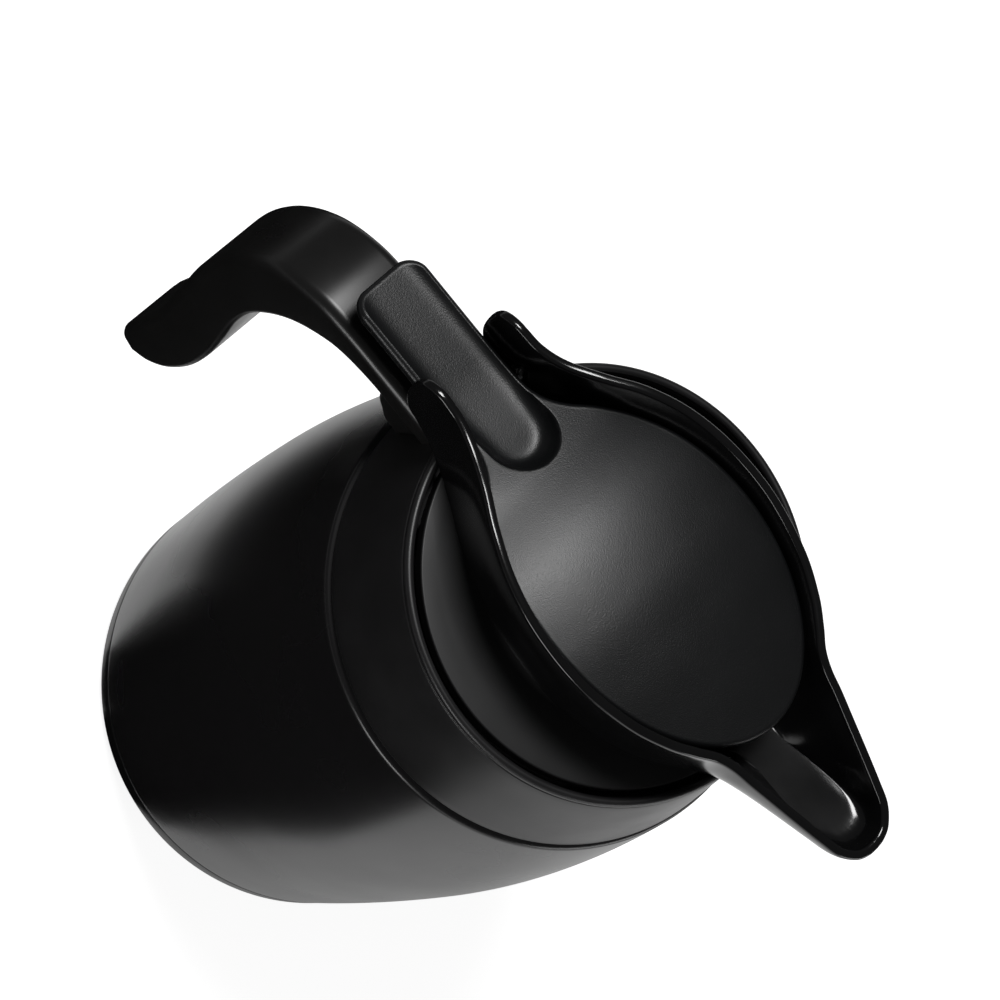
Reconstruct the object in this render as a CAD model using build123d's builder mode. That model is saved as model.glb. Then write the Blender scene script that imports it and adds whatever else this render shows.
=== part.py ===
"""Thermal carafe with a lift-off pouring head and a thumb-operated flip lid.

Frame: the origin is the centre of the base on the resting plane, +Z up, +X towards the spout,
-X towards the handle. All lengths are millimetres.
"""
from build123d import *
import math
import os

os.makedirs("parts", exist_ok=True)

# ---- vacuum flask -----------------------------------------------------------------------------
base_radius = 62.2          # outer radius of the steel wall at its lower edge
belly_radius = 64.4         # widest radius of the steel wall
shoulder_radius = 57.3      # steel wall where it dives under the collar
neck_radius = 43.0          # outer radius of the neck
seam_height = 11.0          # lower edge of the steel wall, above the table
belly_height = 92.0         # height of the widest place
shoulder_height = 176.0     # height of the shoulder edge
neck_base_height = 181.5    # height where the shoulder becomes the neck
lip_height = 190.0          # height of the mouth lip
shell_wall = 0.8            # thickness of the outer steel wall
liner_wall = 0.7            # thickness of the inner steel wall
vacuum_gap = 4.2            # radial gap between the two steel walls
neck_gap = 1.4              # the same gap inside the neck
liner_floor_gap = 4.5       # gap under the inner vessel
liner_corner = 9.0          # radius at the foot of the inner vessel
bottom_flange = 6.0         # height of the welded bottom's flange
seal_cap_radius = 6.0       # cap over the evacuation hole
seal_cap_height = 1.4
getter_radius = 9.0         # getter capsule inside the vacuum
getter_height = 2.4

# ---- base -------------------------------------------------------------------------------------
cup_wall = 1.6              # wall of the base cup
cup_floor = 3.2             # floor of the base cup
cup_corner = 3.2            # rounding of the cup's lower edge
seam_gap = 0.3              # open seam between the cup and the steel wall
spigot_height = 3.2         # how far the cup's spigot reaches into the steel bottom
pad_radius = 56.0           # round anti-slip pad let into the cup
pad_thickness = 2.0
pad_proud = 0.8             # how far the pad stands below the cup

# ---- collar -----------------------------------------------------------------------------------
rim_height = 206.5          # top of the collar's bead
rim_radius = 50.0           # outer radius of the bead
bead_radius = 1.1           # half the bead's width
collar_foot_radius = 56.5   # outer radius of the collar's lower edge
collar_groove = 0.9         # open groove between the collar and the shoulder
mouth_radius = 47.8         # bore at the collar's rim
thread_radius = 46.4        # bore beside the thread ramps
mouth_depth = 4.2           # depth of the wider bore below the rim
mouth_chamfer = 1.0         # height of the slope below it
thread_floor = 190.8        # ledge at the foot of the thread zone
neck_clearance = 0.25       # collar bore over the neck
ring_seal_height = 1.6      # ring seal between the neck and the collar
ring_seal_depth = 1.8
ring_seal_level = 183.0

# ---- thread of the pouring head ---------------------------------------------------------------
thread_starts = 4
thread_turn = 70.0          # degrees from closed to free
thread_rise = 4.0           # rise of the head over that turn
ramp_depth = 2.5            # how far a ramp stands in from the bore
ramp_height = 1.8
ramp_root = 1.0             # how far ramps and lugs are sunk into their walls
ramp_level = 198.0          # underside of a ramp at the middle of its length
ramp_end_gap = 18.0         # degrees left open at each ramp for a lug to drop in
lug_angle = 14.0            # degrees taken by a lug
lug_height = 2.2
thread_clearance = 0.35     # lug to ramp
radial_clearance = 0.4      # lug to bore, ramp to plug

# ---- pouring head -----------------------------------------------------------------------------
foot_radius = 46.3          # round foot of the head inside the collar
foot_height = 206.0         # top of the foot
foot_base = 202.6           # underside of the foot
head_top = 229.2            # top of the rim
head_wall = 2.1
waist_drop = 16.0           # how far the waist lies below the rim
flare_drop = 8.0            # where the flare is half done
rim_length = 47.0           # half length of the oval rim
rim_width = 33.5            # half width of the oval rim
flare_length = 46.3
flare_width = 32.3
waist_length = 44.9
waist_width = 30.1
root_length = 45.0          # half length of the oval at the foot
root_width = 30.3
bowl_floor = 209.0          # floor of the bowl
aperture_radius = 13.0      # pouring aperture
valve_seat_radius = 16.0    # raised ring around the aperture
valve_seat_height = 212.0
spout_root = 36.0           # where the spout leaves the oval
spout_root_width = 18.4     # half width there, at the height of the tip's rim
spout_tip = 80.7            # reach of the tip's rim
spout_tip_radius = 9.2
spout_taper = 20.0          # degrees that the spout's sides lean in
spout_wall = 2.2
spout_floor = 2.4
spout_tip_top = 224.0
spout_tip_bottom = 219.6
spout_tip_fall = 0.8        # fall of the rim over the spout's last part
end_margin = 3.0            # how far the side outline runs past the tips
prong_reach = 63.5          # how far the prongs reach back
prong_tip_length = 6.5      # length of a prong's round end
prong_offset = 12.1         # mid plane of a prong from the middle
prong_thickness = 2.6
prong_top = 224.8           # rim of a prong where its round end begins
prong_low = 208.2           # lower edge of a prong there
prong_tip_height = 219.4    # middle of the round end
prong_start = (-22.0, 28.2) # where a prong leaves the oval
prong_neck = (-48.0, 13.9)  # where a prong narrows towards its straight end
channel_start = 36.0        # front end of the lever channel between the prongs
prong_root = 51.5           # where a prong's lower edge meets the foot

rim_clearance = 0.5         # overhanging parts of the head above the collar's bead
wall_end = 27.0             # where the oval wall hands over to the prongs
rear_sill = 1.0             # height of the sill under the lever

# ---- stopper plug -----------------------------------------------------------------------------
plug_flange_base = 192.4    # step that clamps the mouth seal
plug_base = 172.0
plug_wall = 2.0
plug_clearance = 1.2        # plug to the inner vessel
channel_wall = 2.6
plug_cap_thickness = 2.0
mouth_seal_skirt = 3.2      # depth of the seal's skirt beside the plug
insulation_gap = 0.2
channel_ring_height = 1.2   # ring seal between the plug and the head
channel_ring_width = 2.0

# ---- flip lid ---------------------------------------------------------------------------------
plate_length = 43.1         # half length of the lid plate
plate_width = 30.0          # half width
plate_offset = 1.0          # how far the plate's middle lies towards the spout
plate_thickness = 2.4
plate_edge_height = 225.2   # top of the plate at its front
plate_crown_height = 227.2  # top of the plate at its middle
lever_reach = 85.0          # how far the thumb lever reaches back
lever_start = 32.0          # where it leaves the plate
lever_width = 10.0          # half width
lever_height = 213.8        # top of the lever
lever_skirt = 3.0           # depth of the lever's side skirts
skirt_wall = 1.6
trough_wall = 1.8           # wall under the trough
trough_radius = 13.0        # curve of the thumb trough
trough_depth = 1.3
nose_centre = 44.5          # where the trough's round nose is centred
hinge_offset = 48.6         # hinge axis behind the middle
hinge_height = 209.4
barrel_radius = 2.3
pin_radius = 1.25
pin_clearance = 0.08
pin_socket = 1.5            # depth of a blind socket in a prong
spring_wire = 0.7
coil_clearance = 0.25       # spring coil around the pin
coil_room = 0.15            # lid around the spring coil
spring_width = 5.0
spring_leg_reach = 4.5      # how far the spring's leg reaches into the sill
spring_arm = 6.5            # length of the spring's other leg, under the lever
valve_radius = 18.2         # silicone valve disc
valve_thickness = 2.2
valve_gap = 0.15
carrier_radius = 16.6       # carrier that holds the valve disc
carrier_wall = 1.6
carrier_post = 4.0          # radius of the carrier's middle post
hinge_side_gap = 0.4        # side play of the lid between the prongs
lever_corner = 5.0          # rounded corners of the lever's end

# ---- handle -----------------------------------------------------------------------------------
handle_width = 11.0         # half width of the grip
handle_top = 203.9          # upper face of the beam
handle_under = 196.4        # lower face of the beam
handle_reach = 112.0        # outermost part of the grip
handle_inner = 95.0         # inner face at the palm swell
handle_tip_height = 97.5    # lower end of the grip
handle_depth = 18.0         # more than the grip is thick, from its inner face
handle_wall = 2.6
handle_rounding = 2.6       # rounding of the grip's long edges
handle_seat = 0.15          # handle to collar
lug_half_width = 8.0        # root lug under the beam
lug_bottom = 183.5
lug_reach = 66.0
lug_taper = 2.0             # how far the root lug's back face leans in
cover_half_width = 7.4      # cover let into the inner face of the grip
cover_low = 118.0
cover_high = 182.0
cover_seat = 0.12
screw_height = 187.7
screw_spacing = 4.6         # half the distance between the two screws
screw_radius = 1.5
screw_head_radius = 2.7
screw_head_height = 1.8
screw_head_depth = 3.0      # bore of the collar to the seat of a screw head
screw_reach = 63.0
screw_fit = 0.05

fit_gap = 0.1               # seat clearance inside one rigid assembly


def vessel_outline(foot_r, belly_r, shoulder_r, neck_r, foot_z, shoulder_z, neck_z, top_z):
    """Half section of a round vessel, closed along the axis."""
    with BuildLine() as outline:
        lower = TangentArc((belly_r, belly_height), (foot_r, foot_z), tangent=(0, -1))
        upper = TangentArc((belly_r, belly_height), (shoulder_r, shoulder_z), tangent=(0, 1))
        Polyline(upper @ 1, (neck_r, neck_z), (neck_r, top_z), (0, top_z), (0, foot_z), lower @ 1)
    make_face(outline.edges())


def ring(inner, outer, low, high):
    """Rectangular half section of a ring."""
    with BuildLine() as outline:
        Polyline((inner, low), (outer, low), (outer, high), (inner, high), close=True)
    make_face(outline.edges())


def finish(builder, name):
    """Label a finished piece and write it as its own file."""
    builder.part.label = name
    export_step(builder.part, f"parts/{name}.step")


# ================================ vacuum flask =================================================
with BuildPart() as outer_shell:
    with BuildSketch(Plane.XZ):
        vessel_outline(base_radius, belly_radius, shoulder_radius, neck_radius,
                       seam_height, shoulder_height, neck_base_height, lip_height)
        with BuildSketch(mode=Mode.SUBTRACT):
            vessel_outline(base_radius - shell_wall, belly_radius - shell_wall,
                           shoulder_radius - shell_wall, neck_radius - shell_wall,
                           seam_height, shoulder_height - shell_wall,
                           neck_base_height - shell_wall, lip_height)
    revolve(axis=Axis.Z)
finish(outer_shell, "outer_shell")

liner_outset = shell_wall + vacuum_gap
liner_foot_height = seam_height + bottom_flange + liner_floor_gap
liner_neck_radius = neck_radius - shell_wall - neck_gap
liner_shoulder_height = shoulder_height - vacuum_gap
liner_neck_base = neck_base_height - vacuum_gap
mouth_bore = liner_neck_radius - liner_wall

with BuildPart() as inner_liner:
    with BuildSketch(Plane.XZ) as liner_section:
        vessel_outline(base_radius - liner_outset, belly_radius - liner_outset,
                       shoulder_radius - liner_outset, liner_neck_radius,
                       liner_foot_height, liner_shoulder_height, liner_neck_base, lip_height)
        fillet(liner_section.vertices().group_by(Axis.Y)[0].sort_by(Axis.X)[-1], liner_corner)
        with BuildSketch(mode=Mode.SUBTRACT) as liner_bore:
            vessel_outline(base_radius - liner_outset - liner_wall,
                           belly_radius - liner_outset - liner_wall,
                           shoulder_radius - liner_outset - liner_wall, mouth_bore,
                           liner_foot_height + liner_wall, liner_shoulder_height - liner_wall,
                           liner_neck_base - liner_wall, lip_height)
            fillet(liner_bore.vertices().group_by(Axis.Y)[0].sort_by(Axis.X)[-1],
                   liner_corner - liner_wall)
        with BuildLine():
            Polyline((mouth_bore, lip_height - liner_wall), (mouth_bore, lip_height + liner_wall),
                     (neck_radius, lip_height + liner_wall), (neck_radius, lip_height),
                     (liner_neck_radius, lip_height),
                     (liner_neck_radius, lip_height - liner_wall), close=True)
        make_face()
    revolve(axis=Axis.Z)
finish(inner_liner, "inner_liner")

bottom_top = seam_height + bottom_flange


def wall_radius(height):
    """Outer radius of the steel wall below its widest place: the arc down to the wall's foot."""
    spread, drop = belly_radius - base_radius, belly_height - seam_height
    curvature = 2 * spread / (spread ** 2 + drop ** 2)
    below = belly_height - height
    return belly_radius - curvature * below ** 2 / (1 + math.sqrt(1 - (curvature * below) ** 2))


bottom_radius = min(wall_radius(seam_height), wall_radius(bottom_top)) - shell_wall - fit_gap
with BuildPart() as outer_bottom:
    with BuildSketch(Plane.XZ):
        ring(0, bottom_radius, seam_height, bottom_top)
        with BuildSketch(mode=Mode.SUBTRACT):
            ring(0, bottom_radius - shell_wall, seam_height, bottom_top - shell_wall)
    revolve(axis=Axis.Z)
finish(outer_bottom, "outer_bottom")

with BuildPart() as evacuation_cap:
    with BuildSketch(Plane.XY.offset(bottom_top - shell_wall - seal_cap_height)):
        Circle(seal_cap_radius)
    extrude(amount=seal_cap_height)
    chamfer(evacuation_cap.edges().group_by(Axis.Z)[0], seal_cap_height / 2)
finish(evacuation_cap, "evacuation_cap")

with BuildPart() as getter_capsule:
    with BuildSketch(Plane.XY.offset(bottom_top)):
        Circle(getter_radius)
    extrude(amount=getter_height)
    fillet(getter_capsule.edges().group_by(Axis.Z)[-1], getter_height / 3)
finish(getter_capsule, "getter_capsule")

# ================================ base =========================================================
spigot_radius = bottom_radius - shell_wall - fit_gap
cup_top = seam_height - seam_gap
with BuildPart() as base_cup:
    with BuildSketch(Plane.XZ) as cup_section:
        ring(0, base_radius, pad_proud, cup_top)
        fillet(cup_section.vertices().group_by(Axis.Y)[0].sort_by(Axis.X)[-1], cup_corner)
        ring(0, spigot_radius, cup_top, seam_height + spigot_height)
        with BuildSketch(mode=Mode.SUBTRACT):
            ring(0, spigot_radius - cup_wall, pad_proud + cup_floor, seam_height + spigot_height)
            ring(0, pad_radius, pad_proud, pad_thickness)
    revolve(axis=Axis.Z)
finish(base_cup, "base_cup")

with BuildPart() as base_pad:
    with BuildSketch(Plane.XZ):
        ring(0, pad_radius - fit_gap, 0, pad_thickness)
    revolve(axis=Axis.Z)
finish(base_pad, "base_pad")

# ================================ collar =======================================================
collar_bore = neck_radius + neck_clearance
ramp_radius = thread_radius - ramp_depth
ramp_mid_radius = (ramp_radius + thread_radius) / 2
ramp_slope = math.degrees(math.atan(thread_rise / math.radians(thread_turn) / ramp_mid_radius))
ramp_angle = 360 / thread_starts - lug_angle - ramp_end_gap / thread_starts
shoulder_slope = (neck_base_height - shoulder_height) / (shoulder_radius - neck_radius)


screw_places = [(screw_spacing, screw_height), (-screw_spacing, screw_height)]
screw_head_face = collar_bore + screw_head_depth


def shoulder_level(radius):
    """Height of the steel shoulder at a radius."""
    return shoulder_height + (shoulder_radius - radius) * shoulder_slope


def sloped_segment(inner, outer, level, height, span):
    """Piece of a ring that climbs with the thread, centred on +X at its middle height."""
    reach = 2 * outer
    slab = Location((0, 0, level + height / 2), (ramp_slope, 0, 0)) * Box(reach, reach, height)
    with BuildPart(mode=Mode.PRIVATE) as segment:
        with BuildSketch(Plane.XY.offset(level - thread_rise)):
            Circle(outer)
            Circle(inner, mode=Mode.SUBTRACT)
            half = math.radians(span / 2)
            with BuildLine():
                Polyline((0, 0), (reach, -reach * math.tan(half)), (reach, reach * math.tan(half)),
                         close=True)
            make_face(mode=Mode.INTERSECT)
        extrude(amount=2 * thread_rise + height)
        add(slab, mode=Mode.INTERSECT)
    return segment.part


ramp = sloped_segment(ramp_radius, thread_radius + ramp_root, ramp_level, ramp_height, ramp_angle)
with BuildPart() as collar:
    with BuildSketch(Plane.XZ):
        with BuildLine():
            bead = CenterArc((rim_radius - bead_radius, rim_height - bead_radius), bead_radius, 0, 180)
            Polyline(bead @ 1, (mouth_radius, rim_height - mouth_depth),
                     (thread_radius, rim_height - mouth_depth - mouth_chamfer),
                     (thread_radius, thread_floor),
                     (collar_bore, thread_floor),
                     (collar_bore, shoulder_level(collar_bore) + collar_groove),
                     (collar_foot_radius, shoulder_level(collar_foot_radius) + collar_groove),
                     bead @ 0)
        make_face()
        with BuildSketch(mode=Mode.SUBTRACT):
            ring(collar_bore, collar_bore + ring_seal_depth, ring_seal_level,
                 ring_seal_level + ring_seal_height)
    revolve(axis=Axis.Z)
    with PolarLocations(0, thread_starts):
        add(ramp)
    with BuildSketch(Plane.YZ.offset(-collar_bore)):
        with Locations(*screw_places):
            Circle(screw_radius + screw_fit)
    extrude(amount=-rim_radius / 2, mode=Mode.SUBTRACT)
    with BuildSketch(Plane.YZ.offset(-screw_head_face)):
        with Locations(*screw_places):
            Circle(screw_head_radius + screw_fit)
    extrude(amount=screw_head_face - neck_radius, mode=Mode.SUBTRACT)
finish(collar, "collar")

with BuildPart() as collar_seal:
    with BuildSketch(Plane.XZ) as seal_section:
        ring(neck_radius + screw_fit, collar_bore + ring_seal_depth - screw_fit,
             ring_seal_level + screw_fit, ring_seal_level + ring_seal_height - screw_fit)
        fillet(seal_section.vertices(), ring_seal_height / 4)
    revolve(axis=Axis.Z)
finish(collar_seal, "collar_seal")

# ================================ handle =======================================================
grip_turn = (-86.2, 189.0)      # inner face in the bend
grip_hollow = (-96.6, 168.0)    # inner face under the bend
grip_swell = (-handle_inner, 136.0)
grip_flare = (-97.8, 112.0)
grip_tip = (-105.5, handle_tip_height + 2.5)
outer_turn = (-101.5, 195.5)
outer_back = (-handle_reach, 165.0)
outer_waist = (-111.0, 130.0)
outer_tip = (-113.4, handle_tip_height + 6.5)
beam_top_end = (-84.0, handle_top)
beam_root = -48.0
beam_bend = -70.0

with BuildSketch(Plane.XZ) as handle_profile:
    with BuildLine():
        inner_face = Spline((beam_bend, handle_under), grip_turn, grip_hollow, grip_swell, grip_flare,
                            grip_tip)
        tip = TangentArc(inner_face @ 1, outer_tip, tangent=inner_face % 1)
        outer_face = Spline(outer_tip, outer_waist, outer_back, outer_turn, beam_top_end)
        Polyline(outer_face @ 1, (beam_root, handle_top), (beam_root, handle_under),
                 (beam_bend, handle_under))
    make_face()

profile_face = handle_profile.sketch_local.face()
grip_middle = (-handle_inner, (cover_low + cover_high) / 2)


def inner_band(depth, clearance):
    """Strip of the grip along its inner face, for the cover and its seat."""
    with BuildSketch(Plane.XZ, mode=Mode.PRIVATE) as band:
        add(profile_face)
        with Locations((-depth, 0)):
            add(profile_face, mode=Mode.SUBTRACT)
        with Locations(grip_middle):
            Rectangle(handle_depth, cover_high - cover_low - 2 * clearance, mode=Mode.INTERSECT)
    return band.sketch


cover_seat_face = inner_band(handle_wall, 0)
cover_face = inner_band(handle_wall - cover_seat, cover_seat)
with BuildSketch(Plane.XZ) as grip_cavity:
    with Locations((-handle_wall / 2, 0)):
        add(profile_face)
    with Locations((handle_wall, 0)):
        add(profile_face, mode=Mode.INTERSECT)
    with Locations(grip_middle):
        Rectangle(2 * handle_depth, cover_high - cover_low - 2 * handle_wall, mode=Mode.INTERSECT)


def collar_cone(gap):
    """Solid of the collar's outer surface, widened by a gap."""
    with BuildPart(mode=Mode.PRIVATE) as cone:
        with BuildSketch(Plane.XZ):
            with BuildLine():
                Polyline((0, shoulder_height), (collar_foot_radius + gap, shoulder_height),
                         (collar_foot_radius + gap,
                          shoulder_level(collar_foot_radius) + collar_groove),
                         (rim_radius + gap, rim_height - bead_radius),
                         (rim_radius + gap, rim_height + 1), (0, rim_height + 1), close=True)
            make_face()
        revolve(axis=Axis.Z)
    return cone.part


root_cut = collar_cone(handle_seat)
with BuildPart() as handle:
    with BuildSketch(Plane.XZ.offset(-handle_width)):
        add(profile_face)
    extrude(amount=2 * handle_width)
    side_edges = handle.edges().group_by(Axis.Y)
    fillet(side_edges[0] + side_edges[-1], handle_rounding)
    with BuildSketch(Plane.XZ):
        with BuildLine():
            Polyline((beam_root, handle_under), (-lug_reach, handle_under),
                     (-lug_reach + lug_taper, lug_bottom + 2 * lug_taper),
                     (-lug_reach + 4 * lug_taper, lug_bottom), (beam_root, lug_bottom), close=True)
        make_face()
    extrude(amount=lug_half_width, both=True)
    extrude(grip_cavity.sketch, amount=cover_half_width - handle_wall / 2, both=True,
            mode=Mode.SUBTRACT)
    extrude(cover_seat_face, amount=cover_half_width, both=True, mode=Mode.SUBTRACT)
    add(root_cut, mode=Mode.SUBTRACT)
    with BuildSketch(Plane.YZ.offset(-rim_radius)):
        with Locations(*screw_places):
            Circle(screw_radius + screw_fit)
    extrude(amount=-(screw_reach - rim_radius + screw_fit), mode=Mode.SUBTRACT)
finish(handle, "handle")

with BuildPart() as handle_cover:
    extrude(cover_face, amount=cover_half_width - cover_seat, both=True)
finish(handle_cover, "handle_cover")

with BuildPart() as handle_screws:
    with BuildSketch(Plane.YZ.offset(-screw_head_face + fit_gap)):
        with Locations(*screw_places):
            Circle(screw_head_radius)
            RegularPolygon(screw_radius, 6, mode=Mode.SUBTRACT)
    extrude(amount=screw_head_height)
    with BuildSketch(Plane.YZ.offset(-screw_head_face + fit_gap + screw_head_height / 3)):
        with Locations(*screw_places):
            Circle(screw_radius)
    extrude(until=None, amount=-(screw_reach - screw_head_face + screw_head_height / 3))
finish(handle_screws, "handle_screws")

# ================================ pouring head =================================================
def bowl_shape(inset, low):
    """Oval wall of the head, from a height up to above the rim, drawn in by an inset."""
    with BuildPart(mode=Mode.PRIVATE) as bowl:
        with BuildSketch(Plane.XY.offset(low)):
            Ellipse(root_length - inset, root_width - inset)
        with BuildSketch(Plane.XY.offset(head_top - waist_drop)):
            Ellipse(waist_length - inset, waist_width - inset)
        with BuildSketch(Plane.XY.offset(head_top - flare_drop)):
            Ellipse(flare_length - inset, flare_width - inset)
        with BuildSketch(Plane.XY.offset(head_top)):
            Ellipse(rim_length - inset, rim_width - inset)
        loft()
    return bowl.part


def spout_shape(inset, low):
    """Tapered tongue of the spout above a height, seen from above two straight sides and a round tip."""
    centre = spout_tip - spout_tip_radius
    root = spout_root + inset
    # direction square to the straight sides, which run into the round tip
    side = (math.atan2(spout_root_width, spout_root - centre)
            - math.acos(spout_tip_radius / math.hypot(spout_root_width, spout_root - centre)))
    with BuildPart(mode=Mode.PRIVATE) as tongue:
        for height in (low, head_top):
            lean = (height - spout_tip_top) * math.tan(math.radians(spout_taper))
            radius = spout_tip_radius + lean - inset
            half = ((centre - root) * math.cos(side) + radius) / math.sin(side)
            meet = (centre + radius * math.cos(side), radius * math.sin(side))
            with BuildSketch(Plane.XY.offset(height)):
                with BuildLine():
                    Polyline((meet[0], -meet[1]), (root, -half), (root, half), meet)
                    ThreePointArc(meet, (centre + radius, 0), (meet[0], -meet[1]))
                make_face()
        loft(ruled=True)
    return tongue.part


prong_line = [prong_start, (-33.0, 22.6), (-41.0, 17.3), prong_neck, (-56.0, prong_offset),
              (-prong_reach - end_margin, prong_offset)]
prong_end = -prong_reach + prong_tip_length
rim_line = [(prong_end, prong_top), (-50.0, prong_top), (-36.0, head_top - 2), (-20.0, head_top),
            (20.0, head_top), (48.0, head_top - 2.2), (66.0, spout_tip_top + spout_tip_fall),
            (spout_tip + end_margin, spout_tip_top)]


def side_shape(low_front, low_back):
    """Slab across the head whose outline is the head seen from the side."""
    with BuildPart(mode=Mode.PRIVATE) as slab:
        with BuildSketch(Plane.XZ.offset(-foot_radius)):
            with BuildLine():
                top = Spline(*rim_line)
                Polyline(top @ 1, (spout_tip + end_margin, spout_tip_bottom), low_front, low_back,
                         (prong_end, prong_low))
                EllipticalCenterArc((prong_end, prong_tip_height), prong_tip_length,
                                    prong_tip_height - prong_low, start_angle=180, arc_size=90)
                EllipticalCenterArc((prong_end, prong_tip_height), prong_tip_length,
                                    prong_top - prong_tip_height, start_angle=90, arc_size=90)
            make_face()
        extrude(amount=2 * foot_radius)
    return slab.part


def prong_shape(base, thickness, reach):
    """Both prongs as bent walls rising from a height."""
    with BuildPart(mode=Mode.PRIVATE) as prongs:
        with BuildSketch(Plane.XY.offset(base)):
            with BuildLine() as middle:
                Spline(*prong_line)
            trace(middle.line, thickness)
            mirror(about=Plane.XZ)
        extrude(amount=reach)
    return prongs.part


underside = rim_height + rim_clearance
head_side = side_shape((root_length, underside), (-prong_root, underside))
coil_radius = pin_radius + pin_clearance + coil_clearance + spring_wire / 2
spring_leg_side = spring_width / 2 - spring_wire
bowl_outer = bowl_shape(0, foot_height)
bowl_inner = bowl_shape(head_wall, foot_height)
spout_outer = spout_shape(0, foot_height)
spout_inner = spout_shape(spout_wall, bowl_floor)
prongs = prong_shape(foot_height, prong_thickness, head_top - foot_height)
lever_channel_width = prong_offset - prong_thickness / 2

with BuildPart() as slot_for_spring:
    with BuildSketch(Plane.XY.offset(hinge_height - coil_radius - spring_wire)):
        with Locations((-root_length, spring_leg_side)):
            Rectangle(2 * spring_leg_reach, 2 * spring_wire)
    extrude(amount=2 * spring_wire)
spring_slot = slot_for_spring.part

hollow_inner = aperture_radius + channel_wall + 2 * channel_ring_width
hollow_outer = root_width - 2 * head_wall

with BuildPart() as spout_trough:
    add(spout_inner)
    with BuildSketch(Plane.XZ.offset(-foot_radius)):
        with BuildLine():
            Polyline((spout_root - end_margin, bowl_floor), (root_length, bowl_floor),
                     (spout_tip + end_margin, spout_tip_bottom + spout_floor),
                     (spout_tip + end_margin, head_top + 1),
                     (spout_root - end_margin, head_top + 1), close=True)
        make_face()
    extrude(amount=2 * foot_radius, mode=Mode.INTERSECT)

with BuildPart() as pour_head:
    add(bowl_outer)
    # the oval wall is low behind, where the prongs take over
    with BuildSketch(Plane.XZ.offset(-rim_width)):
        with Locations((-wall_end, bowl_floor + rear_sill)):
            Rectangle(rim_length, head_top, align=(Align.MAX, Align.MIN))
    extrude(amount=2 * rim_width, mode=Mode.SUBTRACT)
    add(spout_outer)
    add(prongs)
    add(head_side, mode=Mode.INTERSECT)
    add(bowl_inner, mode=Mode.SUBTRACT)
    add(spout_trough.part, mode=Mode.SUBTRACT)
    # lever channel between the prongs
    with BuildSketch(Plane.XY.offset(bowl_floor + rear_sill)):
        with Locations((-channel_start, 0)):
            Rectangle(prong_reach, 2 * lever_channel_width, align=(Align.MAX, Align.CENTER))
    extrude(amount=head_top, mode=Mode.SUBTRACT)
    add(spring_slot, mode=Mode.SUBTRACT)
    # blind sockets for the hinge pin
    with BuildSketch(Plane.XZ.offset(-lever_channel_width - pin_socket)):
        with Locations((-hinge_offset, hinge_height)):
            Circle(pin_radius + pin_clearance)
    extrude(amount=2 * (lever_channel_width + pin_socket), mode=Mode.SUBTRACT)
finish(pour_head, "pour_head")

with BuildPart() as floor_block:
    add(bowl_shape(head_wall + fit_gap, foot_height))
    with BuildSketch(Plane.XY.offset(foot_height)):
        Circle(foot_radius)
    extrude(amount=bowl_floor - foot_height, mode=Mode.INTERSECT)

with BuildPart() as head_foot:
    with BuildSketch(Plane.XZ):
        ring(0, foot_radius, foot_base, foot_height)
        ring(0, valve_seat_radius, foot_height, valve_seat_height)
    revolve(axis=Axis.Z)
    # floor of the bowl, inside the oval wall
    add(floor_block.part)
    # pouring channel, and the hollow above the plug
    with BuildSketch(Plane.XZ):
        ring(0, aperture_radius, foot_base, valve_seat_height)
        ring(hollow_inner, hollow_outer, foot_base, bowl_floor - head_wall)
    revolve(axis=Axis.Z, mode=Mode.SUBTRACT)
    add(spring_slot, mode=Mode.SUBTRACT)
finish(head_foot, "head_foot")

# ================================ stopper plug =================================================
plug_radius = mouth_bore - plug_clearance
plug_thread_radius = ramp_radius - radial_clearance
cavity_inner = aperture_radius + channel_wall
cavity_outer = plug_radius - plug_wall
cavity_top = foot_base - channel_ring_height - plug_wall
ring_groove = cavity_inner + channel_ring_width / 2
lug_turn = 180 / thread_starts - thread_turn        # where a lug rests under its ramp
lug_drop = thread_rise / thread_turn * lug_turn
lug_level = ramp_level - thread_clearance - lug_height + lug_drop
lug = sloped_segment(plug_thread_radius - ramp_root, thread_radius - radial_clearance, lug_level, lug_height,
                     lug_angle)

with BuildPart() as stopper_plug:
    with BuildSketch(Plane.XZ):
        ring(cavity_inner, plug_thread_radius, plug_flange_base, foot_base)
        ring(cavity_inner, plug_radius, plug_base, plug_flange_base)
        with BuildSketch(mode=Mode.SUBTRACT):
            ring(cavity_inner, cavity_outer, plug_base, cavity_top)
            ring(ring_groove, ring_groove + channel_ring_width, foot_base - channel_ring_height,
                 foot_base)
    revolve(axis=Axis.Z)
    with PolarLocations(0, thread_starts, start_angle=lug_turn):
        add(lug)
finish(stopper_plug, "stopper_plug")

with BuildPart() as channel_sleeve:
    with BuildSketch(Plane.XZ):
        ring(aperture_radius, cavity_inner - fit_gap, plug_base, foot_base)
    revolve(axis=Axis.Z)
finish(channel_sleeve, "channel_sleeve")

with BuildPart() as channel_ring:
    with BuildSketch(Plane.XZ) as channel_ring_section:
        ring(ring_groove + screw_fit, ring_groove + channel_ring_width - screw_fit,
             foot_base - channel_ring_height + screw_fit, foot_base - screw_fit)
        fillet(channel_ring_section.vertices(), channel_ring_height / 4)
    revolve(axis=Axis.Z)
finish(channel_ring, "channel_ring")

with BuildPart() as plug_cap:
    with BuildSketch(Plane.XZ):
        ring(cavity_inner + fit_gap, cavity_outer - fit_gap, plug_base, plug_base + plug_cap_thickness)
    revolve(axis=Axis.Z)
finish(plug_cap, "plug_cap")

with BuildPart() as plug_insulation:
    with BuildSketch(Plane.XZ):
        ring(cavity_inner + insulation_gap, cavity_outer - insulation_gap,
             plug_base + plug_cap_thickness + insulation_gap, cavity_top - insulation_gap)
    revolve(axis=Axis.Z)
finish(plug_insulation, "plug_insulation")

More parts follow.
